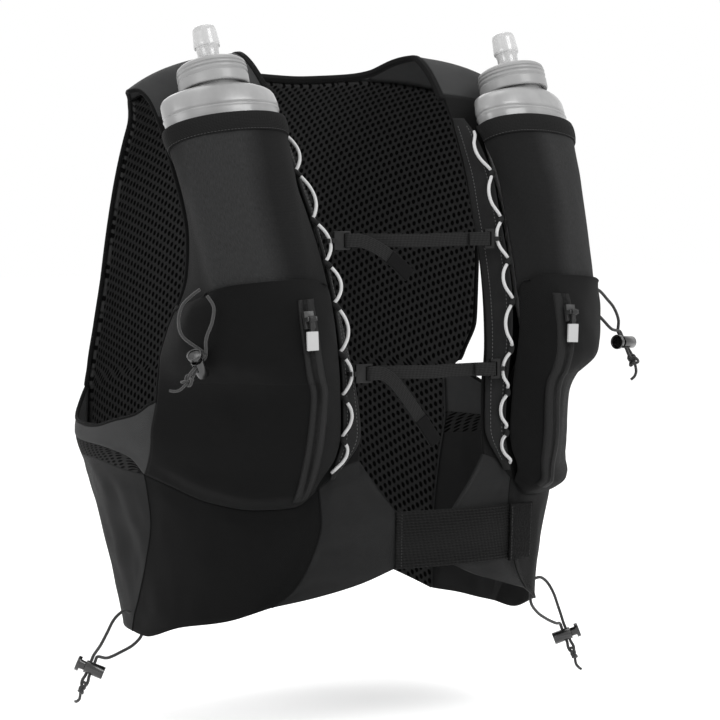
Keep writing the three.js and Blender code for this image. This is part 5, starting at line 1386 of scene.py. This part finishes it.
class VEST_OT_laces(bpy.types.Operator):
    """Stitched edge tapes and the laces in front of them"""
    bl_idname = "vest.laces"
    bl_label = "Laces"

    def execute(self, context):
        look = finishes()
        radius = context.scene.vest_sizes.lace_width / MM / 2
        for word, sign in SIDES:
            u, v = grid(14, 200)
            drop = mix(.712, .100, v)
            welt = 0.35 * np.exp(-(((u - .12) / .05) ** 2)) + 0.4 * np.exp(-(((u - .93) / .05) ** 2))
            points = tape_point(sign, u, drop, TAPE_THICK + welt)
            piece(f"edge_tape_{word}_cloth", points, look["tape"], "pocket_cloth", wall=1.6,
                  nodes=("edge_tape_" + word,))
            t = np.linspace(.695, .112, 260)
            for share, name in ((.80, "outer"), (.25, "inner")):
                line = tape_point(sign, np.full(t.shape, share), t, TAPE_THICK + .12 + 0 * t)
                _, _, face = tape_frame(sign, t)
                stitch_row(f"tape_stitches_{name}_{word}", line, face, look["pale_thread"], 2.7, 1.6, 0.22)
            self.lace(word, sign, radius, look)
        return {"FINISHED"}

    def lace(self, word, sign, radius, look):
        """Lace: an arc towards the gap between eyelets, and at each eyelet a dip into the tape's face."""
        shape = [(0, -1.2), (.10, .0), (.30, .75), (.5, 1), (.7, .75), (.90, .0)]
        points = []
        for start, end in zip(EYELETS, EYELETS[1:]):
            for share, out in shape:
                points.append(lace_point(sign, np.array(mix(start, end, share)), LACE_ARC * max(out, 0)))
                if out < 0:
                    _, _, face = tape_frame(sign, np.array(start))
                    points[-1] = points[-1] - face * 2.6
        _, _, face = tape_frame(sign, np.array(EYELETS[-1]))
        points.append(lace_point(sign, np.array(EYELETS[-1]), 0) - face * 2.6)
        route = spline(points, 420)
        made = tube(f"lace_{word}_cord", route, radius, look["lace"], "lace_cord", nodes=("lace_" + word,))
        self.loops(word, sign, route, look)
        2 * radius * MM

    def loops(self, word, sign, route, look):
        """Cloth loop at each eyelet: a flattened sleeve round the lace, carried along it."""
        for k, drop in enumerate(EYELETS[1:-1], 1):
            _, _, face = tape_frame(sign, np.array(drop))
            spot = lace_point(sign, np.array(drop), 0.0)
            nearest = int(np.linalg.norm(route - spot, axis=1).argmin())
            path = even(route[nearest - 5:nearest + 6], 10)
            along = unit(np.gradient(path, axis=0))
            side = unit(np.cross(along, np.broadcast_to(face, along.shape)))
            swell = 1 + 0.12 * np.sin(np.linspace(0, np.pi, len(path)))
            rings = swept(path, oval_bar(LACE * .78, LACE * .70, 16, 0.8), side * swell[:, None],
                          np.cross(side, along) * swell[:, None])
            piece(f"lace_loop_{word}_{k}", rings, look["tape"], "pocket_cloth", closed=True, ends=True,
                  inside=rings.mean(1, keepdims=True))


class VEST_OT_chest_straps(bpy.types.Operator):
    """Chest straps with their hooks and buckles on the laces"""
    bl_idname = "vest.chest_straps"
    bl_label = "Chest straps"
    tails = dict(
        upper=[(6, -3.2, 0, 0), (14, -3.8, -2, 14), (26, -4.5, -8, 28), (38, -5, -17, 38),
               (47, -5.5, -25, 44)],
        lower=[(6, -3.2, 0, 0), (13, -3.8, -3, 22), (22, -4.5, -12, 44), (34, -5, -27, 48),
               (51, -5.5, -50, 52)])

    def execute(self, context):
        look = finishes()
        for word, arc in (("upper", 2), ("lower", 5)):
            self.strap(word, arc, look)
            for part in ("hook", "buckle"):
                moulded(f"strap_{part}_{word}", look["clip"], "hard_plastic", width=0.35)
        return {"FINISHED"}

    def strap(self, word, arc, look):
        """Webbing: a flat bar carried behind both bars and turned back round them, with a folded tail end."""
        right, left = arc_top(-1, arc), arc_top(1, arc)
        thick = STRAP["thick"]
        bend = STRAP["bar"] / 2 + GAP + thick / 2 + 0.95
        hook_x = right[0] + STRAP["hook"] - STRAP["bar"] / 2
        buckle_x = left[0] - STRAP["buckle"] + STRAP["bar"] / 2
        up = np.array([0.0, 0, 1])
        stations = [((buckle_x - 13, right[1] + bend - thick - 2 * GAP, right[2]), up),
                    ((buckle_x - 5, right[1] - bend * .7, right[2]), up)]
        turn = lambda x, way, start, end: [
            ((x + way * bend * math.sin(a), right[1] + bend * math.cos(a), right[2]), up)
            for a in np.radians(np.linspace(start, end, 6))]
        stations += turn(buckle_x, 1, 180, 0)
        stations += [((x, right[1] + bend, right[2] + sag), up) for x, sag in (
            (buckle_x - 30, -.3), ((hook_x + buckle_x) / 2, -.8), (hook_x + 30, -.3))]
        stations += turn(hook_x, -1, 0, 180)
        for x, y, z, lean in self.tails[word]:
            a = math.radians(lean)
            spot = (hook_x + x, right[1] + y, right[2] + z)
            stations.append((spot, np.array([math.sin(a), 0, math.cos(a)])))
        path = np.array([station[0] for station in stations])
        wide = np.array([station[1] for station in stations])
        fine = spline(path, 260)
        at = np.r_[0, np.cumsum(np.linalg.norm(np.diff(path, axis=0), axis=1))]
        where = np.linspace(0, at[-1], len(fine))
        wide = np.stack([np.interp(where, at, wide[:, k]) for k in range(3)], 1)
        along = unit(np.gradient(fine, axis=0))
        wide = unit(wide - along * dot(wide, along)[:, None])
        out = np.cross(along, wide)
        rings = swept(fine, oval_bar(STRAP["width"] / 2, thick / 2, 28, 0.3), wide, out)
        piece(f"chest_strap_{word}_webbing", rings, look["webbing"], "webbing", closed=True, ends=True,
              inside=rings.mean(1, keepdims=True), nodes=("chest_strap_" + word,))
        fold = slice(-28, None)
        end = swept(fine[fold], oval_bar(STRAP["width"] / 2 + .3, thick / 2 + .75, 28, 0.35), wide[fold],
                    out[fold])
        piece(f"strap_end_{word}", end, look["binding"], "webbing", closed=True, ends=True,
              inside=end.mean(1, keepdims=True))


class VEST_OT_waistband(bpy.types.Operator):
    """Elastic waistband and its hook-and-loop tab"""
    bl_idname = "vest.waistband"
    bl_label = "Waistband"

    def execute(self, context):
        look = finishes()
        low = CLOTH + GAP
        start, end, tab, top = (BAND[key] for key in ("start", "end", "tab", "top"))
        self.strip("waistband", start - BAND_LAP, end, top, BAND["height"], low, "elastic", look)
        self.strip("waistband_tab", tab, tab + BAND["tab_width"], top, BAND["tab_height"],
                   low + BAND["thick"] + GAP, "pile", look)
        return {"FINISHED"}

    def strip(self, name, start, end, top, height, low, finish, look):
        """Strip on the body: ribs are a wave along its height, and its long edges thin out."""
        u, v = grid(90, 160)
        z = -top - height * (1 - v)
        edge = smoothstep(0, .03, v) * smoothstep(0, .03, 1 - v)
        rib = 0.16 * np.sin(v * 2 * np.pi * 19) * edge if finish == "elastic" else 0.25 * noise(
            np.stack([u * 30, v * 50, 0 * u], -1), 1.0, 61)
        lift = low + BAND["thick"] * (0.75 + 0.25 * edge) + rib * edge
        path = path_at(0, z)
        wave = 0.5 * np.sin(u * 5 + 1) * (v - .5)
        points = on_body(mix(start, end, u), path + wave * 0.004, lift)
        piece(name + "_cloth", points, look[finish], "webbing", wall=BAND["thick"] * 0.8, nodes=(name,))
        lines = ((0.035, "near"), (0.965, "far")) if finish == "elastic" else ((0.05, "near"), (0.95, "far"))
        for share, word in lines:
            i = int(share * 90)
            out = normals_of(points)[5:-5, i]
            out = out * (-1 if out[0, 1] > 0 else 1)
            stitch_row(f"{name}_stitches_{word}", points[5:-5, i], out, look["thread"], 2.2, 1.4, 0.22)


OPERATORS = (VEST_OT_stage, VEST_OT_pole_cords, VEST_OT_body_cloth, VEST_OT_pockets, VEST_OT_flasks,
             VEST_OT_laces, VEST_OT_chest_straps, VEST_OT_waistband)


class VEST_PT_panel(bpy.types.Panel):
    """Lists the vest's pieces"""
    bl_idname = "VEST_PT_panel"
    bl_label = "Hydration vest"
    bl_space_type = "VIEW_3D"
    bl_region_type = "UI"
    bl_category = "Vest"

    def draw(self, context):
        for operator in OPERATORS:
            self.layout.operator(operator.bl_idname)
        for group in (context.scene.vest_sizes, context.scene.vest_colours):
            for name in group.__annotations__:
                self.layout.prop(group, name)


CLASSES = (VestSizes, VestColours, *OPERATORS, VEST_PT_panel)


def register():
    for item in CLASSES:
        bpy.utils.register_class(item)
    bpy.types.Scene.vest_sizes = PointerProperty(type=VestSizes)
    bpy.types.Scene.vest_colours = PointerProperty(type=VestColours)


def unregister():
    del bpy.types.Scene.vest_colours
    del bpy.types.Scene.vest_sizes
    for item in reversed(CLASSES):
        bpy.utils.unregister_class(item)


def main():
    register()
    for operator in OPERATORS:
        group, name = operator.bl_idname.split(".")
        getattr(getattr(bpy.ops, group), name)()


if __name__ == "__main__":
    main()
